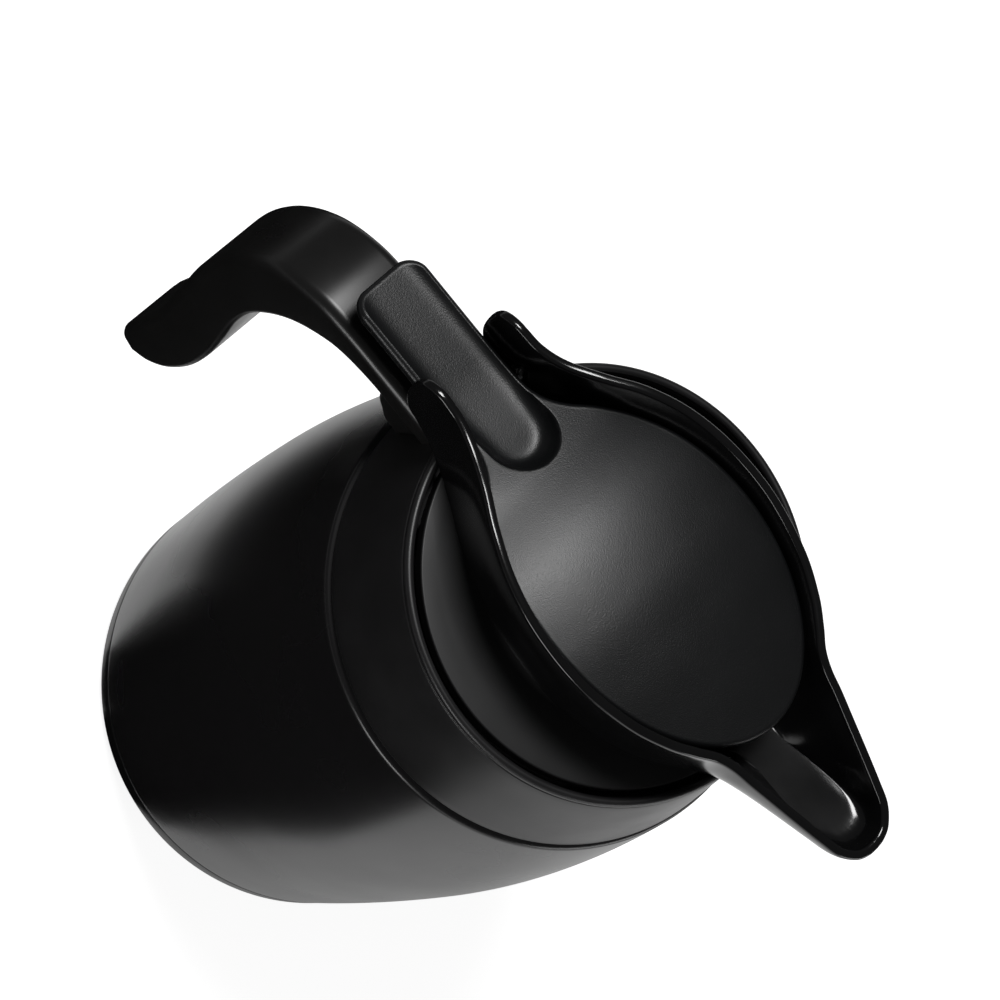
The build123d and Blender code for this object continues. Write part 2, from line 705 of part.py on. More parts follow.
lip_top = lip_height + liner_wall
with BuildPart() as mouth_seal:
    with BuildSketch(Plane.XZ):
        ring(plug_radius + insulation_gap, neck_radius, lip_top + fit_gap, plug_flange_base - fit_gap)
        ring(plug_radius + insulation_gap, mouth_bore - insulation_gap, lip_top - mouth_seal_skirt,
             lip_top + 2 * fit_gap)
    revolve(axis=Axis.Z)
finish(mouth_seal, "mouth_seal")

# ================================ hinge ========================================================
pin_half = lever_channel_width + pin_socket - pin_clearance
with BuildPart() as hinge_pin:
    with BuildSketch(Plane.XZ.offset(-pin_half)):
        with Locations((-hinge_offset, hinge_height)):
            Circle(pin_radius)
    extrude(amount=2 * pin_half)
finish(hinge_pin, "hinge_pin")

spring_pitch = spring_wire * 1.25
with BuildPart() as lid_spring:
    with BuildLine() as coil:
        Helix(spring_pitch, spring_width - spring_wire, coil_radius,
              center=(-hinge_offset, (spring_wire - spring_width) / 2, hinge_height), direction=(0, 1, 0))
    with BuildSketch(Plane(origin=coil.line @ 0, z_dir=coil.line % 0)):
        Circle(spring_wire / 2)
    sweep()
    with BuildSketch(Plane.YZ.offset(-hinge_offset)):
        with Locations((spring_leg_side, hinge_height - coil_radius)):
            Circle(spring_wire / 2)
    extrude(amount=spring_leg_reach + hinge_offset - root_length)
    with BuildSketch(Plane.YZ.offset(-hinge_offset)):
        with Locations((-spring_leg_side, hinge_height - coil_radius)):
            Circle(spring_wire / 2)
    extrude(amount=-spring_arm)
finish(lid_spring, "lid_spring")

# ================================ flip lid =====================================================
plate_front = plate_offset + plate_length
lid_line = [(plate_front + end_margin, plate_edge_height), (22.0, plate_crown_height - 0.4),
            (0.0, plate_crown_height), (-16.0, 225.0), (-32.0, 219.6), (-45.0, 215.2),
            (-56.0, lever_height), (-lever_reach - end_margin, lever_height)]
trough_axis = lever_height - trough_depth + trough_radius


def below_lid(drop):
    """Everything in the lid's outline under its top surface, less a drop."""
    with BuildPart(mode=Mode.PRIVATE) as block:
        with BuildSketch(Plane.XZ.offset(-foot_radius)):
            with BuildLine():
                top = Spline(*[(x, z - drop) for x, z in lid_line])
                Polyline(top @ 1, (-lever_reach - end_margin, foot_height),
                         (plate_front + end_margin, foot_height), top @ 0)
            make_face()
        extrude(amount=2 * foot_radius)
    return block.part


def capsule(radius):
    """Round-nosed bar along the lever, for the thumb trough and its wall."""
    with BuildPart(mode=Mode.PRIVATE) as bar:
        with BuildSketch(Plane.YZ.offset(-nose_centre)):
            with Locations((0, trough_axis)):
                Circle(radius)
        extrude(amount=nose_centre - lever_reach - end_margin)
        with Locations((-nose_centre, 0, trough_axis)):
            Sphere(radius)
    return bar.part


lid_top = below_lid(0)
lid_under = below_lid(plate_thickness)
carrier_room = below_lid(plate_thickness + fit_gap)
trough_outer = capsule(trough_radius + trough_wall)
trough_inner = capsule(trough_radius)
barrel_half = lever_channel_width - hinge_side_gap

with BuildPart() as lid_outline:
    with BuildSketch(Plane.XY.offset(foot_height)):
        with Locations((plate_offset, 0)):
            Ellipse(plate_length, plate_width)
    extrude(amount=head_top - foot_height)
with BuildPart() as lever_outline:
    with BuildSketch(Plane.XY.offset(foot_height)) as lever_plan:
        with Locations((-lever_start, 0)):
            Rectangle(lever_reach - lever_start, 2 * lever_width, align=(Align.MAX, Align.CENTER))
        fillet(lever_plan.vertices().group_by(Axis.X)[0], lever_corner)
    extrude(amount=head_top - foot_height)

with BuildPart() as lever_hollow:
    with BuildSketch(Plane.XY.offset(foot_height)):
        with Locations((-nose_centre, 0)):
            Rectangle(lever_reach, 2 * (lever_width - skirt_wall), align=(Align.MAX, Align.CENTER))
    extrude(amount=head_top - foot_height)
    add(lid_under, mode=Mode.INTERSECT)

with BuildPart() as lid_plate:
    add(lid_outline.part)
    add(lever_outline.part)
    add(lid_under, mode=Mode.SUBTRACT)

with BuildPart() as trough_body:
    add(trough_outer)
    add(lever_outline.part, mode=Mode.INTERSECT)

with BuildPart() as flip_lid:
    # lever with side skirts, the plate, and the wall under the trough
    add(lever_outline.part)
    with BuildSketch(Plane.XY.offset(foot_height)):
        with Locations((-lever_reach / 2, 0)):
            Rectangle(2 * lever_reach, 2 * lever_reach)
    extrude(amount=lever_height - lever_skirt - foot_height, mode=Mode.SUBTRACT)
    add(lever_hollow.part, mode=Mode.SUBTRACT)
    with BuildSketch(Plane.XY.offset(foot_height)):
        with Locations((-nose_centre, 0)):
            Rectangle(lever_reach, 2 * lever_reach, align=(Align.MIN, Align.CENTER))
    extrude(amount=head_top - foot_height, mode=Mode.SUBTRACT)
    add(lid_plate.part)
    add(trough_body.part)
    add(lid_top, mode=Mode.INTERSECT)
    add(trough_inner, mode=Mode.SUBTRACT)
    # hinge barrel
    with BuildSketch(Plane.XZ.offset(-barrel_half)):
        with Locations((-hinge_offset, hinge_height)):
            Circle(barrel_radius)
    extrude(amount=2 * barrel_half)
    with BuildSketch(Plane.XZ.offset(-spring_width / 2 - hinge_side_gap)):
        with Locations((-hinge_offset, hinge_height)):
            Circle(coil_radius + spring_wire / 2 + coil_room)
        with Locations((-hinge_offset, hinge_height - barrel_radius)):
            Rectangle(4 * barrel_radius, 2 * barrel_radius)
    extrude(amount=spring_width + 2 * hinge_side_gap, mode=Mode.SUBTRACT)
    with BuildSketch(Plane.XZ.offset(-lever_reach)):
        with Locations((-hinge_offset, hinge_height)):
            Circle(pin_radius + pin_clearance)
    extrude(amount=2 * lever_reach, mode=Mode.SUBTRACT)
finish(flip_lid, "flip_lid")

# ================================ valve ========================================================
valve_base = valve_seat_height + valve_gap
valve_top = valve_base + valve_thickness
with BuildPart() as valve_disc:
    with BuildSketch(Plane.XZ) as valve_section:
        ring(0, valve_radius, valve_base, valve_top)
        fillet(valve_section.vertices().sort_by(Axis.X)[-2:], valve_thickness / 3)
        ring(0, aperture_radius - plug_clearance, valve_base - valve_thickness, valve_base)
    revolve(axis=Axis.Z)
finish(valve_disc, "valve_disc")

with BuildPart() as valve_carrier:
    with BuildSketch(Plane.XY.offset(valve_top)):
        Circle(carrier_radius)
    extrude(amount=head_top - valve_top)
    with BuildSketch(Plane.XY.offset(valve_top + carrier_wall)):
        Circle(carrier_radius - carrier_wall)
        Circle(carrier_post, mode=Mode.SUBTRACT)
    extrude(amount=head_top - valve_top, mode=Mode.SUBTRACT)
    add(carrier_room, mode=Mode.INTERSECT)
finish(valve_carrier, "valve_carrier")
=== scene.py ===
"""Dressed thermal carafe: steel flask, collar, C handle, pouring head and flip lid."""
import logging
import math
from collections.abc import Sequence
from dataclasses import dataclass
from enum import Enum

import bmesh
import bpy
import numpy as np
from mathutils import Matrix, Vector


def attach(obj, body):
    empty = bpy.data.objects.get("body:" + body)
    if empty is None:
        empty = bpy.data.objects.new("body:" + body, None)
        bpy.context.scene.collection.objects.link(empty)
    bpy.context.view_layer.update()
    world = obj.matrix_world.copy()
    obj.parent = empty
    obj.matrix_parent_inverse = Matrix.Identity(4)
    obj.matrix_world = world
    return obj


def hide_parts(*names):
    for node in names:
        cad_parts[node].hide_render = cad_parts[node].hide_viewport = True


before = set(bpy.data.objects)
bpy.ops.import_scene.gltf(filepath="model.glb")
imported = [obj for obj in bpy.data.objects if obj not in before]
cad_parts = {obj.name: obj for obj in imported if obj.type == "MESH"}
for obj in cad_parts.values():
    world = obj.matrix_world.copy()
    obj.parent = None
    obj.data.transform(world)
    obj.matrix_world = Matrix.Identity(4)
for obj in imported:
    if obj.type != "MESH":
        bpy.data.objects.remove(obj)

MM = 0.001
TINY = 1e-9  # keeps a division away from zero
WELD = 1e-6  # metres within which points are joined
SHARP = 1e-4  # millimetres of rounding below which a corner stays sharp
CORNER_SHARE = 0.49  # share of a side that the arc of one corner may take
FILLET_SHARE = 0.9  # share of the way to a point that a fillet may take
ROUND_STEPS = 320  # steps round the flask
UP = np.array([0.0, 0.0, 1.0])
LEVEL = np.array([1.0, 1.0, 0.0])
LOG = logging.getLogger("carafe")
Materials = dict[str, bpy.types.Material]


class Rows(Enum):
    """How the rows of a grid follow each other; each row by itself is a closed loop."""

    OPEN = "a first row to a last one"
    CLOSED = "the last row joins the first"


# ================================ curves =======================================================
def smoothstep(low: float, high: float, value: np.ndarray) -> np.ndarray:
    """Smooth ramp from 0 to 1: 3t^2 - 2t^3 of the clipped share t of the way from low to high.

    Args:
        low: value where the ramp starts.
        high: value where the ramp ends; it may be lower than low.
        value: values to map.

    Returns:
        The ramp's values.
    """
    share = np.clip((np.asarray(value, float) - low) / (high - low), 0.0, 1.0)
    return share * share * (3.0 - 2.0 * share)


def quarter(steps: int) -> np.ndarray:
    """Angles of a quarter turn in equal steps, both ends included."""
    return np.linspace(0.0, 0.5 * math.pi, steps)


def unit(vector: np.ndarray) -> np.ndarray:
    """Vectors scaled to length one, along the last axis."""
    return vector / np.maximum(np.linalg.norm(vector, axis=-1, keepdims=True), TINY)


def curve_through(points: Sequence[tuple[float, ...]], samples: int) -> np.ndarray:
    """Smooth curve through points: a cubic per span, each tangent half the step between neighbours.

    Args:
        points: points on the curve, in order.
        samples: samples per span.

    Returns:
        Array of points, the last one included.
    """
    knots = np.asarray(points, float)
    padded = np.vstack([2 * knots[0] - knots[1], knots, 2 * knots[-1] - knots[-2]])
    share = np.linspace(0.0, 1.0, samples, endpoint=False)[None, :, None]
    before, start, end, after = (padded[i:len(padded) - 3 + i, None, :] for i in range(4))
    spans = 0.5 * (2 * start + (end - before) * share
                   + (2 * before - 5 * start + 4 * end - after) * share ** 2
                   + (3 * start - before - 3 * end + after) * share ** 3)
    return np.vstack([spans.reshape(-1, knots.shape[1]), knots[-1:]])


def bezier(start: np.ndarray, first: np.ndarray, second: np.ndarray, end: np.ndarray,
           share: np.ndarray) -> np.ndarray:
    """Cubic curves of many rows at once, each from start to end with two controls between.

    Args:
        start: (rows, d) starts.
        first: (rows, d) first controls.
        second: (rows, d) second controls.
        end: (rows, d) ends.
        share: (n,) shares of the way.

    Returns:
        (rows, n, d) points.
    """
    t = share[None, :, None]
    start, first, second, end = (a[:, None, :] for a in (start, first, second, end))
    return ((1 - t) ** 3 * start + 3 * t * (1 - t) ** 2 * first + 3 * t * t * (1 - t) * second
            + t ** 3 * end)


def corner(before: np.ndarray, tip: np.ndarray, after: np.ndarray, share: np.ndarray) -> np.ndarray:
    """Rounded corners of many rows at once: quadratic curves with the corner as their control.

    Args:
        before: (rows, 3) starts.
        tip: (rows, 3) corners.
        after: (rows, 3) ends.
        share: (n,) shares of the way.

    Returns:
        (rows, n, 3) points.
    """
    t = share[None, :, None]
    before, tip, after = (a[:, None, :] for a in (before, tip, after))
    return (1 - t) ** 2 * before + 2 * t * (1 - t) * tip + t * t * after


def even_spacing(points: np.ndarray, count: int) -> np.ndarray:
    """Resample a polyline at equal arc lengths: linear interpolation over the summed lengths.

    Args:
        points: the polyline.
        count: number of points wanted.

    Returns:
        The evenly spaced points.
    """
    length = np.concatenate([[0.0], np.cumsum(np.linalg.norm(np.diff(points, axis=0), axis=1))])
    at = np.linspace(0.0, length[-1], count)
    return np.stack([np.interp(at, length, points[:, k]) for k in range(points.shape[1])], axis=1)


def rounded_outline(corners: Sequence[tuple[float, float, float]], steps: int = 6,
                    spacing: float = 1.2) -> np.ndarray:
    """Closed outline with round corners: each corner is the arc tangent to its two sides.

    An arc is the rational quadratic curve with the corner as its control point, whose weight is
    the sine of half the angle between the sides.

    Args:
        corners: (radius, height, rounding) of each corner, in order round the section.
        steps: points per arc.
        spacing: longest straight step in millimetres.

    Returns:
        Array of (radius, height) points.
    """
    places = np.array([c[:2] for c in corners], float)
    outline: list[np.ndarray] = []
    for index, (_, _, rounding) in enumerate(corners):
        here = places[index]
        back = places[index - 1] - here
        ahead = places[(index + 1) % len(corners)] - here
        back_length, ahead_length = np.linalg.norm(back), np.linalg.norm(ahead)
        back, ahead = back / back_length, ahead / ahead_length
        half = 0.5 * math.acos(float(np.clip(back @ ahead, -1.0, 1.0)))
        reach = min(rounding / max(math.tan(half), TINY), CORNER_SHARE * back_length,
                    CORNER_SHARE * ahead_length)
        if rounding <= 0.0 or reach < SHARP:
            outline.append(here[None])
            continue
        share = np.linspace(0.0, 1.0, steps)[:, None]
        start, end = here + back * reach, here + ahead * reach
        weight = math.sin(half)
        blend = (1 - share) ** 2 + 2 * weight * share * (1 - share) + share ** 2
        outline.append(((1 - share) ** 2 * start + 2 * weight * share * (1 - share) * here
                        + share ** 2 * end) / blend)
    ring = np.vstack(outline)
    closed = np.vstack([ring, ring[:1]])
    dense = [closed[:1]]
    for start, end in zip(closed[:-1], closed[1:]):
        count = max(1, int(np.linalg.norm(end - start) / spacing))
        share = np.linspace(0.0, 1.0, count + 1)[1:, None]
        dense.append(start + (end - start) * share)
    return np.vstack(dense)[:-1]


# ================================ meshes =======================================================
def mesh_from(name: str, vertices: np.ndarray, faces: np.ndarray) -> bpy.types.Object:
    """Make an object from points in millimetres, weld its poles and point its faces outwards.

    Args:
        name: the object's name.
        vertices: (n, 3) points in millimetres.
        faces: (m, 4) corner indices.

    Returns:
        The new object, linked to the scene, smooth shaded.
    """
    mesh = bpy.data.meshes.new(name)
    mesh.from_pydata((vertices * MM).tolist(), [], faces.tolist())
    work = bmesh.new()
    work.from_mesh(mesh)
    bmesh.ops.remove_doubles(work, verts=work.verts, dist=WELD)
    bmesh.ops.dissolve_degenerate(work, edges=work.edges, dist=WELD)
    bmesh.ops.recalc_face_normals(work, faces=work.faces)
    work.to_mesh(mesh)
    work.free()
    shade_smooth(mesh)
    thing = bpy.data.objects.new(name, mesh)
    bpy.context.scene.collection.objects.link(thing)
    return thing


def shade_smooth(mesh: bpy.types.Mesh) -> None:
    """Shade every face of a mesh smooth."""
    mesh.polygons.foreach_set("use_smooth", np.ones(len(mesh.polygons), bool))


def grid_quads(count: int, columns: int, rows: Rows) -> np.ndarray:
    """Quads between the rows of a grid, each of which is a closed loop.

    Args:
        count: number of rows of points.
        columns: number of points in a row.
        rows: how the rows follow each other.

    Returns:
        (m, 4) corner indices.
    """
    row = np.arange(count if rows is Rows.CLOSED else count - 1)
    i, j = (a.ravel() for a in np.meshgrid(row, np.arange(columns), indexing="ij"))
    i_next, j_next = (i + 1) % count, (j + 1) % columns
    return np.stack([i * columns + j, i_next * columns + j, i_next * columns + j_next,
                     i * columns + j_next], axis=1)


def surface(name: str, points: np.ndarray, rows: Rows) -> bpy.types.Object:
    """Make a surface from a (rows, columns, 3) grid of points in millimetres."""
    count, columns, _ = points.shape
    return mesh_from(name, points.reshape(-1, 3), grid_quads(count, columns, rows))


def lifted(plan: np.ndarray, height: np.ndarray) -> np.ndarray:
    """Ring of (n, 3) points: (n, 2) places with one height each."""
    return np.concatenate([plan, np.broadcast_to(height, (len(plan), 1))], axis=1)


def turned(name: str, outline: np.ndarray, steps: int = ROUND_STEPS) -> bpy.types.Object:
    """Turn a closed outline about Z: x = r cos a, y = r sin a, z = h.

    Args:
        name: the object's name.
        outline: (n, 2) points of radius r and height h.
        steps: number of angles round the axis.

    Returns:
        The turned object.
    """
    angle = np.linspace(0.0, 2 * math.pi, steps, endpoint=False)
    radius, height = outline[:, 0][:, None], outline[:, 1][:, None]
    points = np.stack([radius * np.cos(angle), radius * np.sin(angle),
                       height + 0 * angle], axis=2)
    return surface(name, points, Rows.CLOSED)


def join(name: str, parts: list[bpy.types.Object]) -> bpy.types.Object:
    """Join parts that make up one moulding into one object.

    Args:
        name: name of the joined object.
        parts: its parts, the first of which is kept.

    Returns:
        The joined object.
    """
    kept, *rest = parts
    work = bmesh.new()
    for part in parts:
        work.from_mesh(part.data)
    work.to_mesh(kept.data)
    work.free()
    for part in rest:
        bpy.data.objects.remove(part, do_unlink=True)
    kept.name = name
    shade_smooth(kept.data)
    return kept


def place(piece: bpy.types.Object, body: str, slot: str, material: bpy.types.Material,
          node: str) -> None:
    """Dress a piece, tie it to its body and hide the CAD node it stands for.

    Args:
        piece: the finished piece.
        body: the body it rides on.
        slot: the name of its material slot; not used.
        material: its material.
        node: the CAD node that it replaces.
    """
    piece.data.materials.clear()
    piece.data.materials.append(material)
    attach(piece, body)
    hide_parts(node)
    LOG.info("%s on %s: %d faces", piece.name, body, len(piece.data.polygons))


# ================================ finishes =====================================================
@dataclass(frozen=True)
class Finish:
    """One surface finish: base colour, gloss, mottling of both, and a fine grain."""

    name: str
    colour: tuple[float, float, float]
    roughness: float
    roughness_spread: float = 0.04
    tint_spread: float = 0.15
    mottle_scale: float = 60.0
    mottle_detail: float = 4.0
    mottle_range: tuple[float, float] = (0.3, 0.7)
    grain_scale: float = 2200.0
    grain_detail: float = 2.0
    grain_height: float = 0.00002
    grain_strength: float = 0.15
    metallic: float = 0.0

    @staticmethod
    def noise(tree: bpy.types.NodeTree, scale: float, detail: float) -> bpy.types.NodeSocket:
        """Add a noise in object space.

        Args:
            tree: the material's node tree.
            scale: how fine the noise is.
            detail: its layers.

        Returns:
            The noise's output, from 0 to 1.
        """
        texture = tree.nodes.new("ShaderNodeTexNoise")
        texture.inputs["Scale"].default_value = scale
        texture.inputs["Detail"].default_value = detail
        spot = tree.nodes.new("ShaderNodeTexCoord").outputs["Object"]
        tree.links.new(spot, texture.inputs["Vector"])
        return texture.outputs["Fac"]

    def material(self) -> bpy.types.Material:
        """Build the node material.

        Returns:
            The material: noise in object space varies colour and roughness, finer noise bumps it.
        """
        material = bpy.data.materials.new(self.name)
        material.use_nodes = True
        tree = material.node_tree
        nodes, links = tree.nodes, tree.links
        shader = nodes["Principled BSDF"]
        shader.inputs["Metallic"].default_value = self.metallic
        mottle = self.noise(tree, self.mottle_scale, self.mottle_detail)
        low, high = self.mottle_range
        tint = nodes.new("ShaderNodeValToRGB")
        stops = tint.color_ramp.elements
        for stop, gain in zip(stops, (1 - self.tint_spread, 1 + self.tint_spread)):
            stop.color = (*(channel * gain for channel in self.colour), 1.0)
        stops[0].position, stops[1].position = low, high
        links.new(mottle, tint.inputs["Fac"])
        links.new(tint.outputs["Color"], shader.inputs["Base Color"])
        gloss = nodes.new("ShaderNodeMapRange")
        gloss.inputs["From Min"].default_value, gloss.inputs["From Max"].default_value = low, high
        gloss.inputs["To Min"].default_value = self.roughness - self.roughness_spread
        gloss.inputs["To Max"].default_value = self.roughness + self.roughness_spread
        links.new(mottle, gloss.inputs["Value"])
        links.new(gloss.outputs["Result"], shader.inputs["Roughness"])
        bump = nodes.new("ShaderNodeBump")
        bump.inputs["Strength"].default_value = self.grain_strength
        bump.inputs["Distance"].default_value = self.grain_height
        links.new(self.noise(tree, self.grain_scale, self.grain_detail), bump.inputs["Height"])
        links.new(bump.outputs["Normal"], shader.inputs["Normal"])
        return material


PAINT = Finish("satin_black_paint", (0.0085, 0.008, 0.0086), 0.27, mottle_scale=14.0,
               tint_spread=0.1, grain_scale=1500.0, grain_strength=0.05)
COLLAR_PLASTIC = Finish("charcoal_plastic", (0.0105, 0.0102, 0.0108), 0.38, grain_scale=2600.0,
                        grain_strength=0.2)
CUP_PLASTIC = Finish("cup_plastic", (0.005, 0.005, 0.0053), 0.34)
GRIP_PLASTIC = Finish("grip_plastic", (0.0085, 0.0083, 0.0083), 0.3)
FOOT_PLASTIC = Finish("foot_plastic", (0.006, 0.006, 0.0064), 0.45, grain_scale=2600.0)
HEAD_PLASTIC = Finish("head_plastic", (0.0045, 0.0045, 0.0048), 0.14, roughness_spread=0.02,
                      grain_strength=0.0)
LID_PLASTIC = Finish("grained_lid_plastic", (0.0046, 0.005, 0.0055), 0.35, roughness_spread=0.012,
                     tint_spread=0.08, grain_scale=3700.0, grain_height=0.0001, grain_strength=0.5)
PLUG_PLASTIC = Finish("plug_plastic", (0.02, 0.02, 0.021), 0.5)
SILICONE = Finish("grey_silicone", (0.26, 0.27, 0.28), 0.6, grain_strength=0.05)
PAD_RUBBER = Finish("pad_rubber", (0.03, 0.03, 0.03), 0.75)
STEEL = Finish("bare_steel", (0.55, 0.55, 0.56), 0.3, metallic=1.0)
FOAM = Finish("white_foam", (0.75, 0.74, 0.7), 0.9, grain_scale=700.0, grain_strength=0.5)

FINISHES: dict[str, Finish] = {
    "painted_steel": PAINT, "bare_steel": STEEL, "base_plastic": CUP_PLASTIC, "silicone": SILICONE,
    "pad": PAD_RUBBER, "collar_plastic": COLLAR_PLASTIC, "handle_plastic": GRIP_PLASTIC,
    "head_plastic": HEAD_PLASTIC, "foot_plastic": FOOT_PLASTIC, "lid_plastic": LID_PLASTIC,
    "plug_plastic": PLUG_PLASTIC, "foam": FOAM, "screw_steel": STEEL}


# ================================ camera and light =============================================
@dataclass(frozen=True)
class SoftBox:
    """Rectangular lamp that faces the carafe, in metres and watts."""

    name: str
    place: tuple[float, float, float]
    size: tuple[float, float]
    power: float
    target: tuple[float, float, float] = (0.0, 0.0, 0.2)

    def build(self) -> None:
        """Add the lamp, its face towards the target."""
        data = bpy.data.lights.new(self.name, "AREA")
        data.shape = "RECTANGLE"
        data.size, data.size_y = self.size
        data.energy = self.power
        lamp = bpy.data.objects.new(self.name, data)
        lamp.location = self.place
        aim = Vector(self.target) - Vector(self.place)
        lamp.rotation_euler = aim.to_track_quat("-Z", "Y").to_euler()
        bpy.context.scene.collection.objects.link(lamp)


@dataclass(frozen=True)
class Studio:
    """Camera, lamps, floor, a black card that paints dark reflections, and white surroundings.

    The camera's place is in millimetres, and its axes are rows: right, up and back. The floor and
    the card are in metres.
    """

    camera_place: tuple[float, float, float] = (-102.4, -250.0, 717.5)
    camera_axes: tuple[tuple[float, float, float], ...] = (
        (0.63013, 0.66466, 0.40145), (-0.76626, 0.61591, 0.18303), (-0.1256, -0.42294, 0.89741))
    lens: float = 93.6
    sensor: float = 36.0
    clip: tuple[float, float] = (0.05, 20.0)
    lamps: tuple[SoftBox, ...] = (
        SoftBox("key", (-0.3, 0.17, 1.1), (0.28, 0.28), 5.8),
        SoftBox("front", (0.1, -1.2, 0.3), (0.5, 0.35), 3.5),
        SoftBox("right", (1.2, -0.15, 0.22), (0.9, 0.35), 3.5))
    sky_light: float = 0.07
    sky_seen: float = 1.0
    floor_half: float = 8.0
    floor_grey: float = 0.9
    floor_seen: float = 0.82
    floor_mirrored: float = 0.35
    card_height: float = 0.001
    # grey of the card that paints dark reflections on the carafe's near and left side
    reflection_shade_grey: float = 0.01
    card_outline: tuple[tuple[float, float], ...] = (
        (0.25, -0.36), (0.06, -0.11), (0.014, -0.075), (0.0, -0.065), (-0.036, -0.051),
        (-0.049, -0.04), (-0.084, -0.03), (-0.1, 0.02), (-0.115, 0.08), (-0.14, 0.4),
        (-1.2, 0.6), (-1.2, -1.2), (0.25, -1.2))

    def build(self) -> None:
        """Add the camera, the surroundings, the lamps, the floor and the card."""
        bpy.context.scene.view_settings.view_transform = "Standard"
        self.camera()
        self.world()
        for lamp in self.lamps:
            lamp.build()
        self.floor()
        self.card()

    def camera(self) -> None:
        """Add the camera."""
        camera = bpy.data.objects.new("camera", bpy.data.cameras.new("camera"))
        camera.data.lens = self.lens
        camera.data.sensor_width = self.sensor
        camera.data.clip_start, camera.data.clip_end = self.clip
        axes = Matrix(self.camera_axes).transposed()
        camera.matrix_world = Matrix.Translation(Vector(self.camera_place) * MM) @ axes.to_4x4()
        bpy.context.scene.collection.objects.link(camera)
        bpy.context.scene.camera = camera

    @staticmethod
    def ray_strength(tree: bpy.types.NodeTree, ray: str, low: float,
                     high: float) -> bpy.types.NodeSocket:
        """Add a strength that is high for one kind of ray and low for all others.

        Args:
            tree: the node tree to add to.
            ray: the light path's output for that kind of ray.
            low: strength for the others.
            high: strength for that kind.

        Returns:
            The strength's output.
        """
        path = tree.nodes.new("ShaderNodeLightPath")
        strength = tree.nodes.new("ShaderNodeMapRange")
        strength.inputs["To Min"].default_value = low
        strength.inputs["To Max"].default_value = high
        tree.links.new(path.outputs[ray], strength.inputs["Value"])
        return strength.outputs["Result"]

    @staticmethod
    def sheet(name: str, outline: Sequence[tuple[float, float]], height: float, grey: float,
              roughness: float, specular: float) -> bpy.types.Object:
        """Add a flat sheet of one face with a plain material.

        Args:
            name: its name.
            outline: its corners in metres.
            height: its height in metres.
            grey: its base colour.
            roughness: its roughness.
            specular: its specular level.

        Returns:
            The sheet.
        """
        mesh = bpy.data.meshes.new(name)
        mesh.from_pydata([(x, y, height) for x, y in outline], [], [tuple(range(len(outline)))])
        sheet = bpy.data.objects.new(name, mesh)
        bpy.context.scene.collection.objects.link(sheet)
        material = bpy.data.materials.new(name)
        material.use_nodes = True
        shader = material.node_tree.nodes["Principled BSDF"]
        shader.inputs["Base Color"].default_value = (grey, grey, grey, 1.0)
        shader.inputs["Roughness"].default_value = roughness
        shader.inputs["Specular IOR Level"].default_value = specular
        mesh.materials.append(material)
        return sheet

    def world(self) -> None:
        """White to the camera, soft grey as light."""
        world = bpy.data.worlds.new("surroundings")
        bpy.context.scene.world = world
        world.use_nodes = True
        background = world.node_tree.nodes["Background"]
        strength = self.ray_strength(world.node_tree, "Is Camera Ray", self.sky_light, self.sky_seen)
        world.node_tree.links.new(strength, background.inputs["Strength"])
        background.inputs["Color"].default_value = (1.0, 1.0, 1.0, 1.0)

    def floor(self) -> None:
        """Add a pale floor that the camera sees as white but for the shadow."""
        half = self.floor_half
        floor = self.sheet("floor", [(-half, -half), (half, -half), (half, half), (-half, half)],
                           height=0.0, grey=self.floor_grey, roughness=0.9, specular=0.5)
        tree = floor.data.materials[0].node_tree
        nodes, links = tree.nodes, tree.links
        glow = nodes.new("ShaderNodeEmission")
        mix = nodes.new("ShaderNodeAddShader")
        lift = nodes.new("ShaderNodeMath")
        links.new(self.ray_strength(tree, "Is Camera Ray", 0.0, self.floor_seen), lift.inputs[0])
        links.new(self.ray_strength(tree, "Is Glossy Ray", 0.0, self.floor_mirrored), lift.inputs[1])
        links.new(lift.outputs["Value"], glow.inputs["Strength"])
        links.new(nodes["Principled BSDF"].outputs["BSDF"], mix.inputs[0])
        links.new(glow.outputs["Emission"], mix.inputs[1])
        links.new(mix.outputs["Shader"], nodes["Material Output"].inputs["Surface"])

    def card(self) -> None:
        """Lay a black card on the floor, beside and before the carafe, which only reflections show: a
        painted dark reflection on the carafe's near and left side, as it casts no shadow and the
        camera doesn't see it.
        """
        card = self.sheet("painted_reflection_card", self.card_outline, height=self.card_height,
                          grey=self.reflection_shade_grey, roughness=1.0, specular=0.0)
        card.visible_camera = card.visible_diffuse = card.visible_shadow = False
        card.visible_transmission = card.visible_volume_scatter = False


